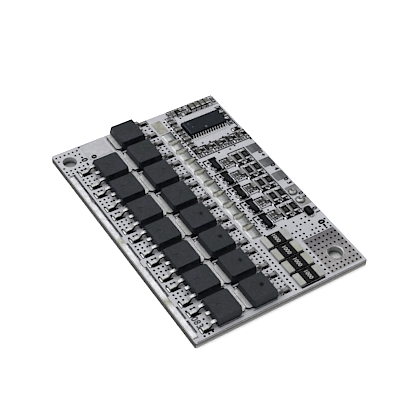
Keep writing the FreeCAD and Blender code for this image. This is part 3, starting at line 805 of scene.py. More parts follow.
def outline(x0, y0, x1, y1, r, n=6):
    pts = []
    for cx, cy, a0 in ((x1 - r, y0 + r, -90), (x1 - r, y1 - r, 0),
                       (x0 + r, y1 - r, 90), (x0 + r, y0 + r, 180)):
        for i in range(n + 1):
            a = math.radians(a0 + 90.0 * i / n)
            pts.append((cx + r * math.cos(a), cy + r * math.sin(a)))
    return pts


def plate(name, outer, inner, z0, z1, mats, pick, replaces=(),
          edge=0.0):
    """A flat plate with real holes, from outlines in board mm; the edge argument is not
    used.  pick gives the material index from a face's centre and normal."""
    loops = [outer] + list(inner)
    pts, cons, spans = [], [], []
    for loop in loops:
        k, n = len(pts), len(loop)
        pts += [Vector(p) for p in loop]
        cons += [(k + i, k + (i + 1) % n) for i in range(n)]
        spans.append((k, n))
    res = geometry.delaunay_2d_cdt(pts, cons, [], 1, 1e-6)
    flat, tris, orig = res[0], res[2], res[3]
    centres = []
    for k, n in spans[1:]:
        cx = sum(p.x for p in pts[k:k + n]) / n
        cy = sum(p.y for p in pts[k:k + n]) / n
        centres.append((cx, cy, (pts[k] - Vector((cx, cy))).length))
    cells = {}
    for c in centres:
        for i in range(int((c[0] - c[2]) // 2), int((c[0] + c[2]) // 2) + 1):
            for j in range(int((c[1] - c[2]) // 2),
                           int((c[1] + c[2]) // 2) + 1):
                cells.setdefault((i, j), []).append(c)
    keep = []
    for t in tris:
        x = sum(flat[i].x for i in t) / 3.0
        y = sum(flat[i].y for i in t) / 3.0
        if not any(math.hypot(x - cx, y - cy) < r
                   for cx, cy, r in cells.get((int(x // 2), int(y // 2)), ())):
            keep.append(tuple(t))
    count = {}
    for t in keep:
        for a, b in ((t[0], t[1]), (t[1], t[2]), (t[2], t[0])):
            count[(a, b)] = count.get((a, b), 0) + 1
    rim = [(a, b) for a, b in count if (b, a) not in count]
    n = len(flat)
    verts = [(p.x, p.y, z1) for p in flat] + [(p.x, p.y, z0) for p in flat]
    faces = list(keep) + [(c + n, b + n, a + n) for a, b, c in keep]
    faces += [(b, a, a + n, b + n) for a, b in rim]
    me = bpy.data.meshes.new(name)
    me.from_pydata([m3(*v) for v in verts], [], faces)
    bm = bmesh.new()
    bm.from_mesh(me)
    bmesh.ops.delete(bm, geom=[q for q in bm.verts if not q.link_faces],
                     context="VERTS")
    bmesh.ops.recalc_face_normals(bm, faces=bm.faces)
    for f in bm.faces:
        c = f.calc_center_median()
        f.material_index = pick((c.x * 1000 - OX, c.y * 1000 - OY, c.z * 1000),
                                f.normal)
        f.smooth = False
    bm.to_mesh(me)
    bm.free()
    for m in mats:
        me.materials.append(m)
    ob = bpy.data.objects.new(name, me)
    bpy.context.scene.collection.objects.link(ob)
    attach(ob, "root")
    if replaces:
        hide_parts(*replaces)
    return ob


def build_board():
    def pick(c, n):
        if abs(n.z) > 0.5:
            return 0
        for hx, hy in HOLES:
            if abs(math.hypot(c[0] - hx, c[1] - hy) - HOLE_R) < 0.12:
                return 3
        # left and far sides take the painted-shade copy of the laminate, near and right
        # sides the lit copy
        if c[0] < 0.1 or c[1] > L - 0.1:
            return 1
        if c[1] < 0.4 or c[0] > W - 0.1:
            return 2
        return 4
    inner = [circle(x, y, HOLE_R, 64) for x, y in HOLES]
    inner += [circle(x, y, VIA_R, 12) for x, y in VIAS]
    board = plate("board_laminate", outline(0, 0, W, L, 0.35), inner, 0, T,
                  [MAT["mask"], MAT["edge_shaded"], MAT["edge_lit"],
                   MAT["hole_wall"], MAT["via"]], pick,
                  replaces=("circuit_board",))
    return board


def build_negative_pad():
    def pick(c, n):
        return 0 if abs(n.z) > 0.5 or math.hypot(c[0] - HOLES[1][0],
                                                 c[1] - HOLES[1][1]) < 1.7 \
            else 0
    x0, y0, x1, y1 = 34.2, 0.9, 42.35, 11.0
    inner = [circle(HOLES[1][0], HOLES[1][1], HOLE_R, 64)]
    inner += [circle(x, y, VIA_R, 12) for x, y in VIAS
              if x0 + 0.3 < x < x1 - 0.2 and y0 + 0.3 < y < y1 - 0.3]
    plate("negative_land", outline(x0, y0, x1, y1, 0.25), inner, T, T + 0.06,
          [MAT["pad_negative"]], pick, replaces=("negative_pad",))


def build_ring():
    """Raised plated lip round the hole in the tinned pad."""
    hx, hy = HOLES[1]
    prof = [(1.60, 1.50), (1.60, 1.63), (1.80, 1.745), (1.86, 1.765),
            (1.91, 1.765), (1.95, 1.74), (1.96, 1.655), (1.75, 1.62)]
    n, k = 72, len(prof)
    v, f = [], []
    for i in range(n):
        a = 2 * math.pi * i / n
        wob = 1.0 + 0.012 * math.sin(3 * a + 0.7) + 0.008 * math.sin(7 * a)
        for j, (r, z) in enumerate(prof):
            rr = r if j in (0, 1) else r * wob
            v.append((hx + rr * math.cos(a), hy + rr * math.sin(a), z))
    for i in range(n):
        for j in range(k):
            a0, a1 = i * k + j, i * k + (j + 1) % k
            b0, b1 = ((i + 1) % n) * k + j, ((i + 1) % n) * k + (j + 1) % k
            f.append((a0, b0, b1, a1))
    ob = piece("negative_pad_rim", v, f, MAT["lip"])
    bm = bmesh.new()
    bm.from_mesh(ob.data)
    bmesh.ops.recalc_face_normals(bm, faces=bm.faces)
    bm.to_mesh(ob.data)
    bm.free()
    shade(ob, 50)


# ------------------------------------------------------------------ solder
def heightfield(name, x0, x1, y0, y1, step, height, fields, mat,
                replaces, shore=None):
    """Closed solid over a rectangle of board; height is its surface above
    the board, which falls to almost nothing at the border."""
    nx = max(4, int(round((x1 - x0) / step)))
    ny = max(4, int(round((y1 - y0) / step)))
    v, f = [], []
    vals = {k: [] for k in fields}
    for j in range(ny + 1):
        for i in range(nx + 1):
            y = y0 + (y1 - y0) * j / ny
            x = x0 + ((shore(y) if shore else x1) - x0) * i / nx
            v.append((x, y, T + max(0.012, height(x, y))))
            for k, fn in fields.items():
                vals[k].append(min(1.0, max(0.0, fn(x, y))))
    row = nx + 1
    for j in range(ny):
        for i in range(nx):
            a = j * row + i
            f.append((a, a + 1, a + row + 1, a + row))
    border = [i for i in range(row)]
    border += [j * row + nx for j in range(1, ny + 1)]
    border += [ny * row + i for i in range(nx - 1, -1, -1)]
    border += [j * row for j in range(ny - 1, 0, -1)]
    base = len(v)
    for b in border:
        v.append((v[b][0], v[b][1], T))
        for k in fields:
            vals[k].append(vals[k][b])
    n = len(border)
    for i in range(n):
        f.append((border[(i + 1) % n], border[i], base + i,
                  base + (i + 1) % n))
    f.append(tuple(base + i for i in reversed(range(n))))
    return piece(name, v, f, mat, smooth=60, replaces=replaces,
                 attrs=vals)


def smooth_step(a, b, x):
    t = min(1.0, max(0.0, (x - a) / (b - a)))
    return t * t * (3 - 2 * t)


def hump(x, c, s):
    return math.exp(-((x - c) / s) ** 2)


def nz(x, y, s, seed=0.0):
    return noise.noise(Vector((x * s, y * s, seed)))


def build_bus():
    bumps = [50.05, 46.75, 43.12, 39.12, 35.22, 31.42, 27.55, 23.65, 19.95]
    X0, X1, Y0, Y1 = 24.70, 28.02, 16.6, 53.9

    def lens(x, y):
        """1 on a ridge's crest, 0 at its rim: blunt at the left, pointed at
        the right."""
        k = min(range(9), key=lambda i: abs(y - bumps[i] - 0.08 * (x - 26.4)))
        c = bumps[k] + 0.16 + 0.08 * (x - 26.4) + 0.07 * nz(x, k * 3.7, 1.1, 0.4)
        if x < 26.6:
            half = 0.76 + 0.06 * nz(x, k * 2.1, 1.6, 7.0)
        else:
            half = 0.76 * max(0.0, 1.0 - ((x - 26.6) / 1.38) ** 1.8) + 0.001
        half *= smooth_step(24.85, 25.15, x)
        return max(-3.0, 1.0 - abs(y - c) / (half + 0.001))

    def shore(y):
        """Right-hand shore: a pointed tongue at each lens, drawn in between."""
        d = min(abs(y - b - 0.15) for b in bumps)
        wob = 0.09 * nz(y, 3.1, 0.9) + 0.05 * nz(y, 7.7, 2.3)
        return min(28.02, 27.66 + 0.36 * max(0.0, 1.0 - d / 0.7) ** 0.8 + wob)

    def height(x, y):
        r = shore(y)
        rise = smooth_step(X0 - 0.05, X0 + 0.42, x)
        fall = max(0.0, (x - 25.7) / (r - 25.7))
        p = rise * (0.24 - 0.17 * fall ** 1.5 + 0.03 * nz(x, y, 0.8, 2.0))
        t = max(0.0, min(1.0, lens(x, y) * 1.5))
        h = p + (rise * 0.34 - p) * math.sin(t * math.pi / 2)
        h += 0.012 * nz(x, y, 2.2, 5.0) * rise
        c = smooth_step(Y0, Y0 + 0.7, y) * (1 - smooth_step(Y1 - 0.7, Y1, y))
        return h * c * (1.0 - smooth_step(r - 0.16, r + 0.02, x))

    # painted highlight: a bright band along the left edge and bright patches
    def highlight_paint(x, y):
        e = 25.26 + 0.10 * nz(y, 1.1, 3.0)
        g = smooth_step(24.80, 24.90, x) * (1.0 - smooth_step(e - 0.1, e + 0.1, x))
        g = max(g, 0.5 * smooth_step(0.05, 0.3, nz(x, y, 0.75, 12.0)) *
                (1 - smooth_step(26.2, 26.9, x)))
        return g * (1.0 - smooth_step(-0.6, -0.15, lens(x, y)))

    def flux(x, y):
        t = lens(x, y)
        f = smooth_step(-0.25, 0.1, t) * (1 - 0.45 * smooth_step(0.35, 0.8, t))
        f *= 1.0 - 0.5 * smooth_step(27.2, 27.7, x)
        f *= smooth_step(24.9, 25.5, x)
        return f * (0.95 + 0.6 * nz(x, y, 1.3, 9.0))

    # painted shade in the hollows between the ridges, at their rims and along the right
    # shore
    def painted_shade(x, y):
        t, r = lens(x, y), shore(y)
        g = 0.62 * hump(t, -0.08, 0.22) * smooth_step(25.1, 25.5, x) * \
            (1 - smooth_step(26.7, 27.3, x)) * (0.8 + 0.8 * nz(x, y, 1.2, 3.3))
        dry = 1.0 - smooth_step(-0.4, 0.0, t)
        below = max([b for b in bumps if b <= y] or [bumps[-1] - 3.8])
        lean = 25.95 + 1.15 * min(1.0, (y - below) / 3.7)
        g = max(g, 0.80 * smooth_step(lean - 0.30, lean + 0.95, x) * dry *
                (0.9 + 0.7 * nz(x, y, 1.7, 6.0)))
        wide = 0.10 + 0.16 * smooth_step(-0.1, 0.2, nz(y, 0.9, 5.5))
        g = max(g, dry * (0.50 * smooth_step(25.9, 26.8, x) +
                          0.14 * nz(x * 2.0, y, 1.1, 4.4)))
        g = max(g, 0.90 * smooth_step(r - 0.95 - wide, r - 0.12, x) * dry *
                (0.9 + 0.5 * nz(x * 3.0, y, 0.9, 8.0)))
        return g

    heightfield("bus_solder_flow", X0, X1, Y0, Y1, 0.07, height,
                {"highlight_paint": highlight_paint, "flux": flux, "painted_shade": painted_shade},
                MAT["solder_flow"], ("solder_bus",), shore)


def build_bar():
    X0, X1, Y0, Y1 = 0.04, 1.34, 0.9, 52.1
    stains = [(43.4, 0.9, 0.1, 0.45), (30.0, 1.1, 0.95, 0.05),
              (22.5, 0.9, 0.35, 0.35), (11.5, 1.1, 0.95, 0.0)]

    def shore(y):
        s = 1.30 + 0.04 * nz(y, 1.3, 0.5) + 0.03 * nz(y, 5.3, 0.9)
        for b, w, _, g in stains:
            s -= 0.5 * g * hump(y, b, w)
        return min(1.34, s)

    def height(x, y):
        r = shore(y)
        a = smooth_step(X0 - 0.04, X0 + 0.10, x) * \
            (1 - smooth_step(r - 0.10, r, x))
        c = smooth_step(Y0, Y0 + 0.5, y) * (1 - smooth_step(Y1 - 0.5, Y1, y))
        h = 0.225 + 0.03 * nz(x, y, 0.5, 0.22) + 0.006 * nz(x, y, 2.0, 0.9)
        return h * a * c

    def flux(x, y):
        return sum(a * hump(y, b, s) for b, s, a, _ in stains) * \
            (0.8 + 0.4 * nz(x, y, 1.5, 3.0))

    # painted shade along the bar's right rim
    def painted_shade(x, y):
        return 0.9 * smooth_step(shore(y) - 0.07, shore(y), x)

    heightfield("bar_solder_flow", X0, X1, Y0, Y1, 0.075, height,
                {"flux": flux, "painted_shade": painted_shade}, MAT["solder_bar"],
                ("left_solder_bar",))


def build_blobs():
    """Two hand-soldered lumps on the lower cell pads."""
    v, f = [], []
    for cx, cy, seed in ((40.95, 24.0, 1.0), (40.95, 21.15, 5.0)):
        nu, nv = 40, 12
        k = len(v)
        for j in range(nv + 1):
            t = j / nv
            for i in range(nu):
                a = 2 * math.pi * i / nu
                r = 1.12 + 0.14 * noise.noise(Vector((math.cos(a), math.sin(a),
                                                      seed)))
                rr = r * math.sin(t * math.pi / 2)
                h = 0.55 * (math.cos(t * math.pi / 2) ** 0.8 if t < 1 else 0.0)
                x = cx + rr * math.cos(a)
                y = cy + rr * math.sin(a) * 0.95
                dent = 0.24 * hump(math.hypot(x - cx - 0.18, y - cy - 0.22),
                                   0, 0.42)
                h = max(0.0, h - dent + 0.05 * nz(x, y, 1.9, seed))
                if j == 0:
                    x, y = cx, cy
                    h = 0.55 - 0.24 * hump(math.hypot(0.18, 0.22), 0, 0.42)
                if j == nv:
                    h = 0.0
                v.append((x, y, T + 0.06 + h))
        for j in range(nv):
            for i in range(nu):
                a, b = k + j * nu + i, k + j * nu + (i + 1) % nu
                c, d = b + nu, a + nu
                if j == 0:
                    f.append((k, d, c))
                else:
                    f.append((a, d, c, b))
        f.append(tuple(k + nv * nu + i for i in reversed(range(nu))))
    ob = piece("cell_solder_lumps", v, f, MAT["solder_lump"],
               replaces=("cell_pad_solder",))
    bm = bmesh.new()
    bm.from_mesh(ob.data)
    loose = [q for q in bm.verts if not q.link_faces]
    bmesh.ops.delete(bm, geom=loose, context="VERTS")
    bmesh.ops.recalc_face_normals(bm, faces=bm.faces)
    bm.to_mesh(ob.data)
    bm.free()
    shade(ob, 60)


# ------------------------------------------------------------------ small parts
CHIP_R = [(30.15, 58.55, "y"), (31.3, 58.55, "y"), (33.95, 58.75, "x"),
          (34.55, 57.3, "x"), (42.15, 58.3, "y"),
          (30.78, 44.7, "y"), (33.63, 44.7, "y"), (36.48, 44.7, "y"),
          (39.33, 44.7, "y"), (42.18, 44.7, "y"),
          (29.35, 57.2, "x"), (29.35, 54.4, "x"), (29.35, 51.9, "x"),
          (29.35, 50.7, "x"), (29.35, 48.3, "x"), (29.35, 46.95, "x"),
          (41.6, 54.6, "y"), (41.6, 50.2, "y"), (41.5, 47.15, "x")]
CHIP_C = [(32.4, 58.3, "y"),
          (29.5, 44.83, "y"), (32.35, 44.83, "y"), (35.2, 44.83, "y"),
          (38.05, 44.83, "y"), (40.9, 44.83, "y"),
          (29.35, 55.7, "x"), (29.35, 53.1, "x"), (29.35, 49.5, "x"),
          (41.6, 52.4, "y")]
CH_THIN = [(32.62, 38.95, "y"), (33.32, 38.95, "y"),
           (35.75, 36.98, "x"), (37.93, 36.98, "x")]
CH_C = [(34.25, 39.05, "y")]
BIG = [(36.21, 58.3), (37.61, 58.3), (39.03, 58.3), (40.43, 58.3)]
PITCH = 4.67


def all_chips():
    """(x, y, along, length, width, height) of every two-ended part."""
    out = [(x, y, a, 1.6, 0.8, 0.45) for x, y, a in CHIP_R]
    out += [(x, y, a, 1.75, 0.88, 0.8) for x, y, a in CHIP_C]
    for k in range(5):
        out += [(x, y - PITCH * k, a, 1.75, 0.88, 0.8) for x, y, a in CH_C]
        out += [(x, y - PITCH * k, a, 1.5, 0.58, 0.4) for x, y, a in CH_THIN]
    out += [(x, y, "y", 2.0, 1.2, 0.9) for x, y in BIG]
    return out


def build_fillets():
    """Solder at the ends of the small chips, on their own little lands."""
    s = Shapes()
    faint = Shapes()
    for x, y, a, ln, w, h in all_chips():
        for e in (-1, 1):
            dx, dy = (e, 0) if a == "x" else (0, e)
            reach = 0.2 + 0.05 * rng.random()
            if a == "y" and w > 1.0:
                reach = 0.16
            top = min(h * 0.78, 0.5)
            prof = [(ln / 2 - 0.03, T), (ln / 2 - 0.03, T + top),
                    (ln / 2 + 0.03, T + top * 0.72),
                    (ln / 2 + 0.08, T + top * 0.42),
                    (ln / 2 + 0.14, T + top * 0.2),
                    (ln / 2 + reach, T + 0.03), (ln / 2 + reach, T)]
            v0 = len(s.v)
            n = len(prof)
            half = w / 2 + 0.02
            for side in (-1, 1):
                for u, z in prof:
                    t = max(0.0, (u - ln / 2) / reach)
                    ww = half * (1 - 0.12 * t)
                    s.v.append((x + dx * u - dy * side * ww,
                                y + dy * u + dx * side * ww, z))
            s.f.append(tuple(v0 + i for i in reversed(range(n))))
            s.f.append(tuple(v0 + n + i for i in range(n)))
            for i in range(n):
                j = (i + 1) % n
                s.f.append((v0 + i, v0 + j, v0 + n + j, v0 + n + i))
    for x, y in BIG:
        s.box(x - 0.36, y - 1.52, T, x + 0.20, y - 1.14, T + 0.22, 0.09)
    # the balance resistors' ends
    for k in range(5):
        for x in (36.19, 38.29):
            y = 38.85 - PITCH * k
            for e in (-1, 1):
                y0, y1 = sorted((y + e * 1.52, y + e * 1.66))
                s.box(x - 0.72, y0, T, x + 0.72, y1, T + 0.1, 0.02)
    # under the controller's feet and the small transistors' feet
    for row in (-1, 1):
        for i in range(14):
            xc = IC[0] + (i - 6.5) * 0.672
            ys = sorted((IC[1] + row * 2.72, IC[1] + row * 3.6))
            faint.box(xc - 0.15, ys[0], T, xc + 0.15, ys[1], T + 0.035, 0.02)
    for k in range(5):
        cx, cy = SOT[0], SOT[1] - 4.95 * k
        for sx, dy in ((-1, 0.95), (-1, -0.95), (1, 0.0)):
            xs = sorted((cx + sx * 0.92, cx + sx * 1.46))
            s.box(xs[0], cy + dy - 0.17, T, xs[1], cy + dy + 0.17, T + 0.05,
                  0.03)
    for k in range(5):
        x = 28.6 + 2.85 * k
        for dx, y0, y1, w in ((0.28, 43.4, 44.2, 0.2), (0.92, 43.4, 44.1, 0.16),
                              (1.56, 43.45, 44.25, 0.2), (2.28, 43.4, 44.2, 0.2)):
            s.box(x + dx - w / 2, y0, T, x + dx + w / 2, y1, T + 0.07, 0.03)
    s.out("chip_solder_fillets", MAT["solder"], "solder")
    faint.out("controller_lands", MAT["pad_lead"], "tinned_pad")


def build_seams():
    """Solder between facing drain tabs, and the dots at their far corners."""
    s = Shapes()
    for k in range(7):
        left = LEFT_X + LEFT_DX[k] + 5.9
        right = RIGHT_X + RIGHT_DX[k] - 5.9
        mid = (left + right) / 2.0
        c = FET_Y[k]
        n, r = 5, 0.20
        prof = [(mid + r * math.cos(math.pi * i / n),
                 T + 0.05 + 0.40 * math.sin(math.pi * i / n) ** 0.7)
                for i in range(n + 1)]
        y0, y1 = c - 2.1, c + 2.35
        v = [(x, y0, z) for x, z in prof] + [(x, y1, z) for x, z in prof]
        m = n + 1
        f = [tuple(range(m)), tuple(reversed(range(m, 2 * m)))]
        f += [(i, m + i, m + (i + 1) % m, (i + 1) % m) for i in range(m)]
        s.add(v, f)
        x, y = right - 0.02, c + 3.32
        for j, (r0, z0, r1, z1) in enumerate(((0.24, 0.0, 0.22, 0.10),
                                              (0.22, 0.10, 0.12, 0.17))):
            s.disc(x, y, T + z0, T + z1, r0, 14, r1)
    s.out("drain_seam_solder", MAT["tin_small"], "solder", smooth=50)


def feet():
    """(body side, way out, y) of every outer lead of the power transistors."""
    out = []
    for col, sign, shifts in ((LEFT_X, -1, LEFT_DX), (RIGHT_X, 1, RIGHT_DX)):
        for k, d in enumerate(shifts):
            for s in (1, -1):
                out.append((col + d, sign, FET_Y[k] + s * 2.286))
    return out


def build_feet():
    """Solder drawn up round each foot, and the tinned land it stands on."""
    land = Shapes()
    nu, nv = 20, 14
    u0, u1, wv = 1.30, 3.62, 0.64
    v, f = [], []
    for i, (side, sign, yc) in enumerate(feet()):
        xs = sorted((side - sign * 0.1, side + sign * 3.5))
        land.box(xs[0], yc - 0.58, T, xs[1], yc + 0.58, T + 0.03, 0.03)
        base = len(v)
        tip = 0.40 + 0.06 * rng.random()
        lean = 0.03 * (rng.random() - 0.5)
        for a in range(nu + 1):
            u = u0 + (u1 - u0) * a / nu
            for b in range(nv + 1):
                w = -wv + 2 * wv * b / nv
                du = max(0.0, u - 3.12)
                dw = max(0.0, abs(w - lean) - 0.38)
                back = max(0.0, 1.75 - u)
                d = math.hypot(du, math.hypot(dw, back / 1.4))
                h = 0.035 + tip * math.exp(-(d / 0.14) ** 1.4)
                r = math.hypot(max(0.0, u - 3.15) / 0.34, abs(w) / wv)
                if r > 1.0:
                    h *= max(0.0, 1.0 - (r - 1.0) * 3.0)
                if a in (0, nu) or b in (0, nv):
                    h = 0.01
                h = max(0.01, h + (0.02 * nz(u + i, w * 2, 3.0, i) if h > 0.06
                                   else 0.0))
                v.append((side + sign * u, yc + w, T + h))
        row = nv + 1
        for a in range(nu):
            for b in range(nv):
                q = base + a * row + b
                f.append((q, q + row, q + row + 1, q + 1))
        border = [base + b for b in range(row)]
        border += [base + a * row + nv for a in range(1, nu + 1)]
        border += [base + nu * row + b for b in range(nv - 1, -1, -1)]
        border += [base + a * row for a in range(nu - 1, 0, -1)]
        low = len(v)
        for q in border:
            v.append((v[q][0], v[q][1], T))
        n = len(border)
        for q in range(n):
            f.append((border[q], border[(q + 1) % n], low + (q + 1) % n, low + q))
        f.append(tuple(low + q for q in range(n)))
    ob = piece("foot_solder", v, f, MAT["solder_foot"],
               replaces=("lead_solder_joints",))
    bm = bmesh.new()
    bm.from_mesh(ob.data)
    bmesh.ops.recalc_face_normals(bm, faces=bm.faces)
    bm.to_mesh(ob.data)
    bm.free()
    shade(ob, 60)
    land.out("lead_lands", MAT["pad_lead"], "tinned_pad")


def dress_cad():
    """Better finishes and rounded edges for the CAD nodes that stay."""
    def give(node, mat, width=0.0, seg=2, angle=35):
        ob = NODES[node]
        if not ob.data.materials:
            ob.data.materials.append(MAT[mat])
        for i in range(len(ob.material_slots)):
            ob.material_slots[i].material = MAT[mat]
        if width:
            w = ob.modifiers.new("join", "WELD")
            w.merge_threshold = 1e-6
            bevel(ob, width, seg, angle)
            ob.modifiers.new("even", "WEIGHTED_NORMAL")

    for side, n in (("left", 7), ("right", 8)):
        for k in range(n):
            give("mosfet_%s_%d_body" % (side, k + 1), "epoxy", 0.09, 3, 25)
            give("mosfet_%s_%d_leads" % (side, k + 1), "tin", 0.07, 2, 30)
    give("drain_solder_lands", "tin", 0.02)
    give("bus_end_pad", "pad_bus_end", 0.02)
    give("cell_pads", "pad_cell", 0.02)
    give("output_pad", "pad_output", 0.02)
    give("controller_chip_body", "epoxy_fine", 0.07, 2, 25)
    give("controller_chip_leads", "tin_fine", 0.02, 1)
    for k in range(4):
        give("shunt_resistor_%d" % (k + 1), "glaze", 0.04)
    give("shunt_end_caps", "cap_shunt", 0.14, 3)
    give("balance_resistor_bodies", "resistor", 0.03)
    give("balance_resistor_caps", "cap", 0.06, 2)
    give("balance_transistor_bodies", "epoxy_small", 0.06, 2, 25)
    give("balance_transistor_leads", "cap", 0.03, 1)
    give("input_capacitor_bodies", "ceramic_grey", 0.05)
    give("input_capacitor_caps", "cap", 0.08, 2)
    give("chip_resistor_bodies", "glaze_chip", 0.03)
    give("chip_resistor_caps", "cap", 0.06, 2)
    give("chip_capacitor_bodies", "ceramic", 0.04)
    give("chip_capacitor_caps", "cap", 0.07, 2)
    give("diode_body", "epoxy_small", 0.07, 2, 25)
    give("diode_terminals", "tin_small", 0.03)


# ------------------------------------------------------------------ silkscreen
def build_silk():
    s = Shapes()
    soft = Shapes()
    z0, z1 = T, T + 0.02

    def r(x0, y0, x1, y1):
        s.box(max(x0, 0.03), max(y0, 0.03), z0, min(x1, W - 0.03),
              min(y1, L - 0.03), z1)

    def q(x0, y0, x1, y1):
        soft.box(x0, y0, z0, x1, y1, z1 - 0.005)

    def vl(x, y0, y1, w=0.2):
        w = w * 1.3
        r(x - w / 2, y0, x + w / 2, y1)

    def hl(y, x0, x1, w=0.2):
        w = w * 1.3
        r(x0, y - w / 2, x1, y + w / 2)

    # strip beside the left bar, its shore wavy
    for i in range(102):
        y = 1.2 + 0.5 * i
        a = 0.06 * nz(y, 1.7, 4.0) + 0.04 * nz(y, 6.1, 8.0)
        b = 0.04 * nz(y, 2.9, 1.0)
        if min(abs(y + 0.25 - 11.5) / 1.3, abs(y - 22.4), abs(y - 29.8)) < 1.0:
            continue
        if y > 33.0:
            q(1.36 + a, y, 1.80 + b, y + 0.5)
            r(1.68 + a, y, 1.80 + 0.5 * a, y + 0.5)
        elif i not in (0, 1, 9, 17):
            q(1.40 + a, y, 1.82 + b, y + 0.5)
    hl(52.25, 0.5, 1.86, 0.14)
    # frame of the transistors' side of the controller block
    vl(28.66, 43.05, 56.2, 0.15)
    hl(58.0, 28.6, 30.0, 0.2)
    vl(28.66, 57.0, 58.0, 0.2)
    hl(56.85, 32.6, 42.9, 0.12)
    hl(46.18, 30.3, 42.95, 0.22)
    hl(43.1, 28.55, 42.95, 0.22)
    hl(59.86, 30.0, 42.8, 0.16)
    # marks between the horizontal chips left of the controller
    for y in (56.42, 55.05, 53.75, 52.5, 51.28, 50.1, 48.9, 47.62, 46.35):
        hl(y, 28.7, 30.1, 0.11)
    for y0, y1 in ((55.2, 56.2), (52.6, 53.5), (50.9, 51.7), (49.7, 50.4),
                   (48.0, 49.2), (46.4, 47.2)):
        vl(30.27, y0, y1, 0.2)
    # dark bars of painted shade between the chips of the row below the controller, and
    # black bars at their near ends
    for k in range(5):
        x = 28.92 + 2.85 * k
        vl(x, 44.3, 46.1, 0.2)
        vl(x + 1.27, 44.2, 46.0, 0.2)
        vl(x + 2.42, 44.2, 46.0, 0.2)
        for d, w in ((0.55, 0.26), (1.25, 0.26), (1.85, 0.2), (2.60, 0.26)):
            r(x + d - w / 2, 43.45, x + d + w / 2, 44.15)
    # painted shade in the gaps between the parts of the far row
    for x in (30.72, 31.85, 32.95, 35.42, 41.35):
        q(x - 0.12, 57.0, x + 0.12, 59.6)
    for x in (36.91, 38.32, 39.73):
        q(x - 0.09, 57.0, x + 0.09, 59.7)
        r(x - 0.14, 56.75, x + 0.10, 57.2)
    q(33.1, 57.92, 35.3, 58.12)
    # right of the controller
    vl(42.42, 46.8, 55.9, 0.2)
    hl(55.8, 41.0, 42.4, 0.16)
    hl(53.45, 41.1, 42.3, 0.16)
    hl(51.3, 41.1, 42.3, 0.16)
    hl(49.1, 41.1, 42.3, 0.16)
    vl(40.85, 48.7, 50.0, 0.2)
    vl(40.35, 46.7, 47.7, 0.18)
    hl(46.62, 40.4, 42.4, 0.12)
    hl(47.75, 40.4, 42.4, 0.12)
    # balancing grid
    vl(39.5, 17.9, 41.2, 0.17)
    for k in range(6):
        hl(41.13 - 4.64 * k, 34.95, 39.55, 0.2)
    for k in range(5):
        top = 41.13 - 4.64 * k
        vl(35.0, top - 1.1, top, 0.2)
        vl(35.0, top - 4.64, top - 2.5, 0.22)
        vl(37.22, top - 4.4, top - 3.1, 0.22)
        y = 40.25 - PITCH * k
        hl(y, 32.0, 34.95, 0.24)
        hl(y - 3.1, 32.0, 34.7, 0.14)
        vl(33.01, y - 2.6, y - 0.1, 0.14)
        vl(33.84, y - 2.6, y - 0.1, 0.12)
        vl(32.03, y - 3.0, y - 0.1, 0.16)
        vl(34.8, y - 3.0, y - 1.7, 0.2)
        # black squares of painted shadow beside the thin chips' near fillets
        for bx, by in ((32.62, 37.72), (33.32, 37.78), (34.3, 38.0), (34.35, 37.05)):
            r(bx - 0.18, by - PITCH * k - 0.22, bx + 0.18, by - PITCH * k + 0.22)
        # beside the small transistors: black blocks of painted shadow round them, and
        # printed marks
        ty = 38.85 - 4.95 * k
        r(28.55, ty + 2.62, 29.75, ty + 3.0)
        r(29.95, ty + 1.75, 31.0, ty + 3.05)
        r(31.0, ty + 2.1, 31.95, ty + 3.05)
        r(31.12, ty + 0.75, 31.45, ty + 2.1)
        r(31.12, ty - 1.5, 31.4, ty - 0.75)
        vl(28.6, ty + 1.2, ty + 2.8, 0.2)
        r(29.2, ty + 1.6, 29.85, ty + 2.2)
        r(28.98, ty - 0.2, 29.32, ty + 0.2)
        r(29.45, ty + 0.35, 29.8, ty + 0.68)
        r(29.25, ty - 1.55, 29.75, ty - 1.3)
        r(29.1, ty - 0.55, 29.4, ty - 0.38)
        r(31.25, ty - 1.6, 31.62, ty - 1.05)
        vl(28.62, ty + 0.9, ty + 1.9, 0.2)
        vl(31.8, ty - 1.7, ty - 0.9, 0.2)
        hl(ty - 1.62, 30.2, 31.4, 0.14)
    # painted shade in the deep gaps between the power transistors, beside their drain
    # tabs
    for k in range(7):
        c = FET_Y[k]
        x = RIGHT_X + RIGHT_DX[k] - 5.9
        r(x - 0.53, c + 2.66, x + 0.30, c + 2.98)
        r(x - 0.53, c + 2.98, x - 0.37, c + 4.4)
        r(x + 0.17, c + 2.98, x + 0.9, c + 3.5)
        r(x - 0.37, c + 3.5, x + 1.3, c + 3.74)
        r(x - 0.53, c + 4.12, x + 1.5, c + 4.75)
        r(x - 3.4, c + 4.2, x - 2.12, c + 4.95)
    # painted shade: the dark gap beside the top right-hand transistor's tab
    r(13.42, 54.6, 13.80, 58.8)
    # outlines beside the right-hand feet
    for k in range(8):
        c = FET_Y[k]
        for d in (2.286, -2.286):
            hl(c + d + 0.82, 21.4, 22.6, 0.16)
        vl(24.15, c - 1.6, c + 1.3, 0.06)
    # painted shadow of a trace between the vias beside the left-hand feet
    for k in range(7):
        c = FET_Y[k]
        hl(c + 3.35, 3.55, 4.8, 0.16)
    # a bar of painted shadow on the near side of each foot, and a printed bracket at
    # its tip
    for side, sign, yc in feet():
        a, b = sorted((side + sign * 0.95, side + sign * 3.1))
        if sign < 0:
            r(a, yc - 1.0, b, yc - 0.62)
        else:
            r(a, yc - 0.84, b, yc - 0.62)
        t = side + sign * 3.66
        r(t - 0.08, yc - 0.8, t + 0.08, yc + 0.8)
        a, b = sorted((side + sign * 3.1, t))
        r(a, yc + 0.66, b, yc + 0.82)
        r(a, yc - 0.82, b, yc - 0.66)
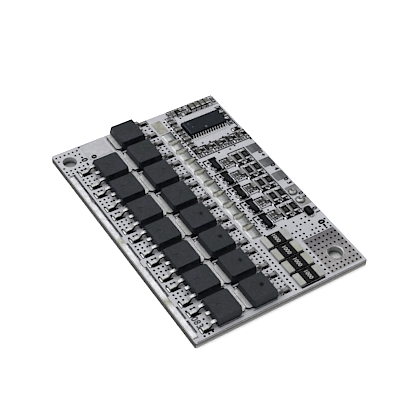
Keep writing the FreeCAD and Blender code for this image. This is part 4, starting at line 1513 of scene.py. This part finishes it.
    # in front of the nearest transistors
    q(0.4, 0.03, 42.6, 0.18)
    for x0, x1 in ((6.3, 12.0), (14.5, 20.3)):
        q(x0 - 0.1, 0.92, x1 + 0.1, 1.08)
    # painted shade: black bars between the near fillets of the row below the controller
    for k in range(5):
        x = 28.6 + 2.85 * k
        for dx in (0.62, 1.24, 1.92, 2.60):
            r(x + dx - 0.13, 43.38, x + dx + 0.13, 44.2)
    # a band of painted shadow in front of the controller's body, under its near leads,
    # and a line under its far leads
    hl(49.42, 30.7, 40.3, 0.36)
    hl(54.5, 30.9, 40.1, 0.2)
    # painted shadow in the gaps between the shunt resistors, and before the nearest
    for y in (12.0, 8.15, 4.3):
        r(26.1, y + 0.02, 32.75, y + 0.62)
    r(26.3, 0.62, 32.4, 1.02)
    # polarity mark beside the diode and pad edges
    hl(18.95, 39.6, 41.3, 0.12)
    hl(11.12, 34.0, 42.4, 0.1)
    # black nubs of the panel's break-off points
    for x in (34.4, 37.3, 14.4):
        r(x - 0.2, 59.5, x + 0.2, 59.96)
    s.out("silkscreen_lines", MAT["ink"], "mask_white", smooth=None)
    soft.out("silkscreen_soft", MAT["ink_soft"], "mask_white", smooth=None)


def build_labels():
    def num(name, text, x, y, size, turn=-90, bold=0.02, wide=1.0):
        label(name, text, x, y, T, size, turn, MAT["ink"], 0.02,
              bold, wide)
    marks = (("cell_mark_5", "0", 42.05, 38.05), ("cell_sign_5", "+", 42.05, 36.9),
             ("cell_mark_4", "0", 42.05, 33.1), ("cell_sign_4", "4", 42.1, 31.75),
             ("cell_mark_3", "0", 42.05, 28.0), ("cell_sign_3", "3", 42.05, 26.7),
             ("cell_mark_2", "0", 42.3, 22.8), ("cell_sign_2", "2", 42.3, 21.6),
             ("cell_mark_1", "0", 42.2, 17.6), ("cell_sign_1", "1", 42.2, 16.4))
    for name, text, x, y in marks:
        label(name, text, x, y, T + 0.07, 1.5, -90, MAT["ink"],
              0.02, 0.04, 1.0)
    num("negative_mark", "0", 41.1, 13.6, 2.0, -90, 0.13, 1.1)
    num("negative_sign", "-", 41.05, 12.4, 2.8, -90, 0.10)
    num("output_mark", "0", 5.95, 55.4, 1.95, -90, 0.09)
    num("output_sign", "-", 5.9, 53.9, 2.6, -90, 0.10)
    label("output_mark_2", "0", 8.25, 55.25, T + 0.07, 1.6, -90, MAT["ink"],
          0.02, 0.08, 1.25)
    for k, (text, y) in enumerate((("0", 5.3), ("8", 4.3), ("3", 3.25))):
        label("corner_mark_%d" % (k + 1), text, 3.1, y, T, 2.1, -90,
              MAT["ink_soft"], 0.02, 0.06, 0.85)

    # plain numbers printed on the resistors
    for k, y in enumerate((14.25, 10.4, 6.55, 2.7)):
        label("shunt_mark_%d" % (k + 1), "1000", 29.45, y, T + 0.56, 1.3, -90,
              MAT["ink_white"], 0.012, 0.03, 1.0)
    for k in range(5):
        for i, x in enumerate((36.19, 38.29)):
            label("balance_mark_%d_%d" % (k + 1, i + 1), "470", x,
                  38.85 - PITCH * k, T + 0.52, 0.72, -90, MAT["mark_grey"],
                  0.012, 0.0, 1.0)
    # pin mark and two ejector dots on the controller
    s = Shapes()
    z = T + 1.2
    s.disc(31.85, 52.95, z - 0.003, z + 0.01, 0.2)
    s.disc(32.25, 51.65, z - 0.003, z + 0.01, 0.17)
    s.disc(IC[0] - 0.35, IC[1] - 1.51, z - 0.052, z - 0.03, 0.34, 20)
    s.box(30.75, 49.95, z - 0.003, 30.88, 53.75, z + 0.008, 0.01)
    s.out("controller_dots", MAT["mark"], "moulding_black", smooth=None)
    # dark floors of the power transistors' moulding dimples
    s = Shapes()
    z = T + 2.3 - 0.08
    for k, rad in enumerate((0.44, 0.36, 0.44, 0.36)):
        s.disc(RIGHT_X + RIGHT_DX[k] - 2.05, FET_Y[k] + 0.05,
               z - 0.002, z + 0.012, rad, 24)
    s.out("mould_dimple_floors", MAT["dimple"], "moulding_black", smooth=None)


def build_relief():
    """Copper areas that stand up a little under the mask."""
    s = Shapes()
    h = 0.03
    for x0, y0, x1, y1 in ((24.38, 16.4, 24.62, 58.4), (22.35, 0.6, 22.5, 59.2),
                           (33.05, 0.7, 33.25, 15.6), (30.42, 46.6, 30.58, 56.3)):
        s.box(x0, y0, T, x1, y1, T + h, 0.03)
    s.out("mask_relief", MAT["mask"], "mask_white")


# ------------------------------------------------------------------ build
build_board()
build_negative_pad()
build_ring()
build_bus()
build_bar()
build_blobs()
build_fillets()
build_feet()
build_seams()
build_silk()
build_labels()
build_relief()
dress_cad()

# ------------------------------------------------------------------ stage
me = bpy.data.meshes.new("floor")
S = 0.9
me.from_pydata([(-S, -S, 0), (S, -S, 0), (S, S, 0), (-S, S, 0)], [],
               [(0, 1, 2, 3)])
me.materials.append(MAT["paper"])
floor = bpy.data.objects.new("floor", me)
bpy.context.scene.collection.objects.link(floor)
floor.location = (0, 0, -0.00002)


def area(name, loc, target, size, power, color=(1, 1, 1), size_y=None):
    ld = bpy.data.lights.new(name, "AREA")
    ld.energy = power
    ld.color = color
    ld.size = size
    if size_y:
        ld.shape = "RECTANGLE"
        ld.size_y = size_y
    ob = bpy.data.objects.new(name, ld)
    ob.location = loc
    d = Vector(target) - Vector(loc)
    ob.rotation_euler = d.to_track_quat("-Z", "Y").to_euler()
    bpy.context.scene.collection.objects.link(ob)
    return ob


area("overhead_soft", (0.0, 0.20, 0.45), (0, 0.05, 0), 0.72, 2.05,
     size_y=0.50)

# studio surround: bright overhead and to the back left, dark at the front
world = bpy.data.worlds.new("studio")
world.use_nodes = True
wt = world.node_tree
bg = wt.nodes["Background"]
wc = wt.nodes.new("ShaderNodeTexCoord")
wd = wt.nodes.new("ShaderNodeVectorMath")
wd.operation = "DOT_PRODUCT"
wd.inputs[1].default_value = (-0.42, 0.30, 0.856)
wr = wt.nodes.new("ShaderNodeValToRGB")
stops = ((0.0, 0.08), (0.25, 0.26), (0.60, 0.66), (1.0, 0.95))
while len(wr.color_ramp.elements) < len(stops):
    wr.color_ramp.elements.new(0.5)
for el, (pos, val) in zip(wr.color_ramp.elements, stops):
    el.position = pos
    el.color = (val * 0.98, val * 0.985, val, 1)
wt.links.new(wc.outputs["Generated"], wd.inputs[0])
wt.links.new(wd.outputs["Value"], wr.inputs[0])
wt.links.new(wr.outputs[0], bg.inputs[0])
bg.inputs[1].default_value = 0.85
bpy.context.scene.world = world

cam_data = bpy.data.cameras.new("camera")
cam_data.lens = 100.73
cam_data.sensor_width = 36.0
cam_data.sensor_fit = "HORIZONTAL"
cam_data.clip_start = 0.01
cam_data.clip_end = 10.0
cam = bpy.data.objects.new("camera", cam_data)
right = Vector((0.8383, -0.5422, 0.0581))
up = Vector((0.3597, 0.6299, 0.6884))
back = Vector((-0.4098, -0.5562, 0.7230))
rot = Matrix((right, up, back)).transposed().to_4x4()
cam.matrix_world = Matrix.Translation((-0.09998, -0.13387, 0.17837)) @ rot
bpy.context.scene.collection.objects.link(cam)
bpy.context.scene.camera = cam

view = bpy.context.scene.view_settings
view.view_transform = "Standard"
view.look = "None"
view.exposure = 0.0
view.gamma = 1.0

scene = bpy.context.scene
scene.use_nodes = True
ct = scene.node_tree
ct.nodes.clear()
layers = ct.nodes.new("CompositorNodeRLayers")
crisp = ct.nodes.new("CompositorNodeFilter")
crisp.filter_type = "SHARPEN"
crisp.inputs["Fac"].default_value = 0.05
comp = ct.nodes.new("CompositorNodeComposite")
ct.links.new(layers.outputs["Image"], crisp.inputs["Image"])
ct.links.new(crisp.outputs["Image"], comp.inputs["Image"])

bpy.context.view_layer.update()
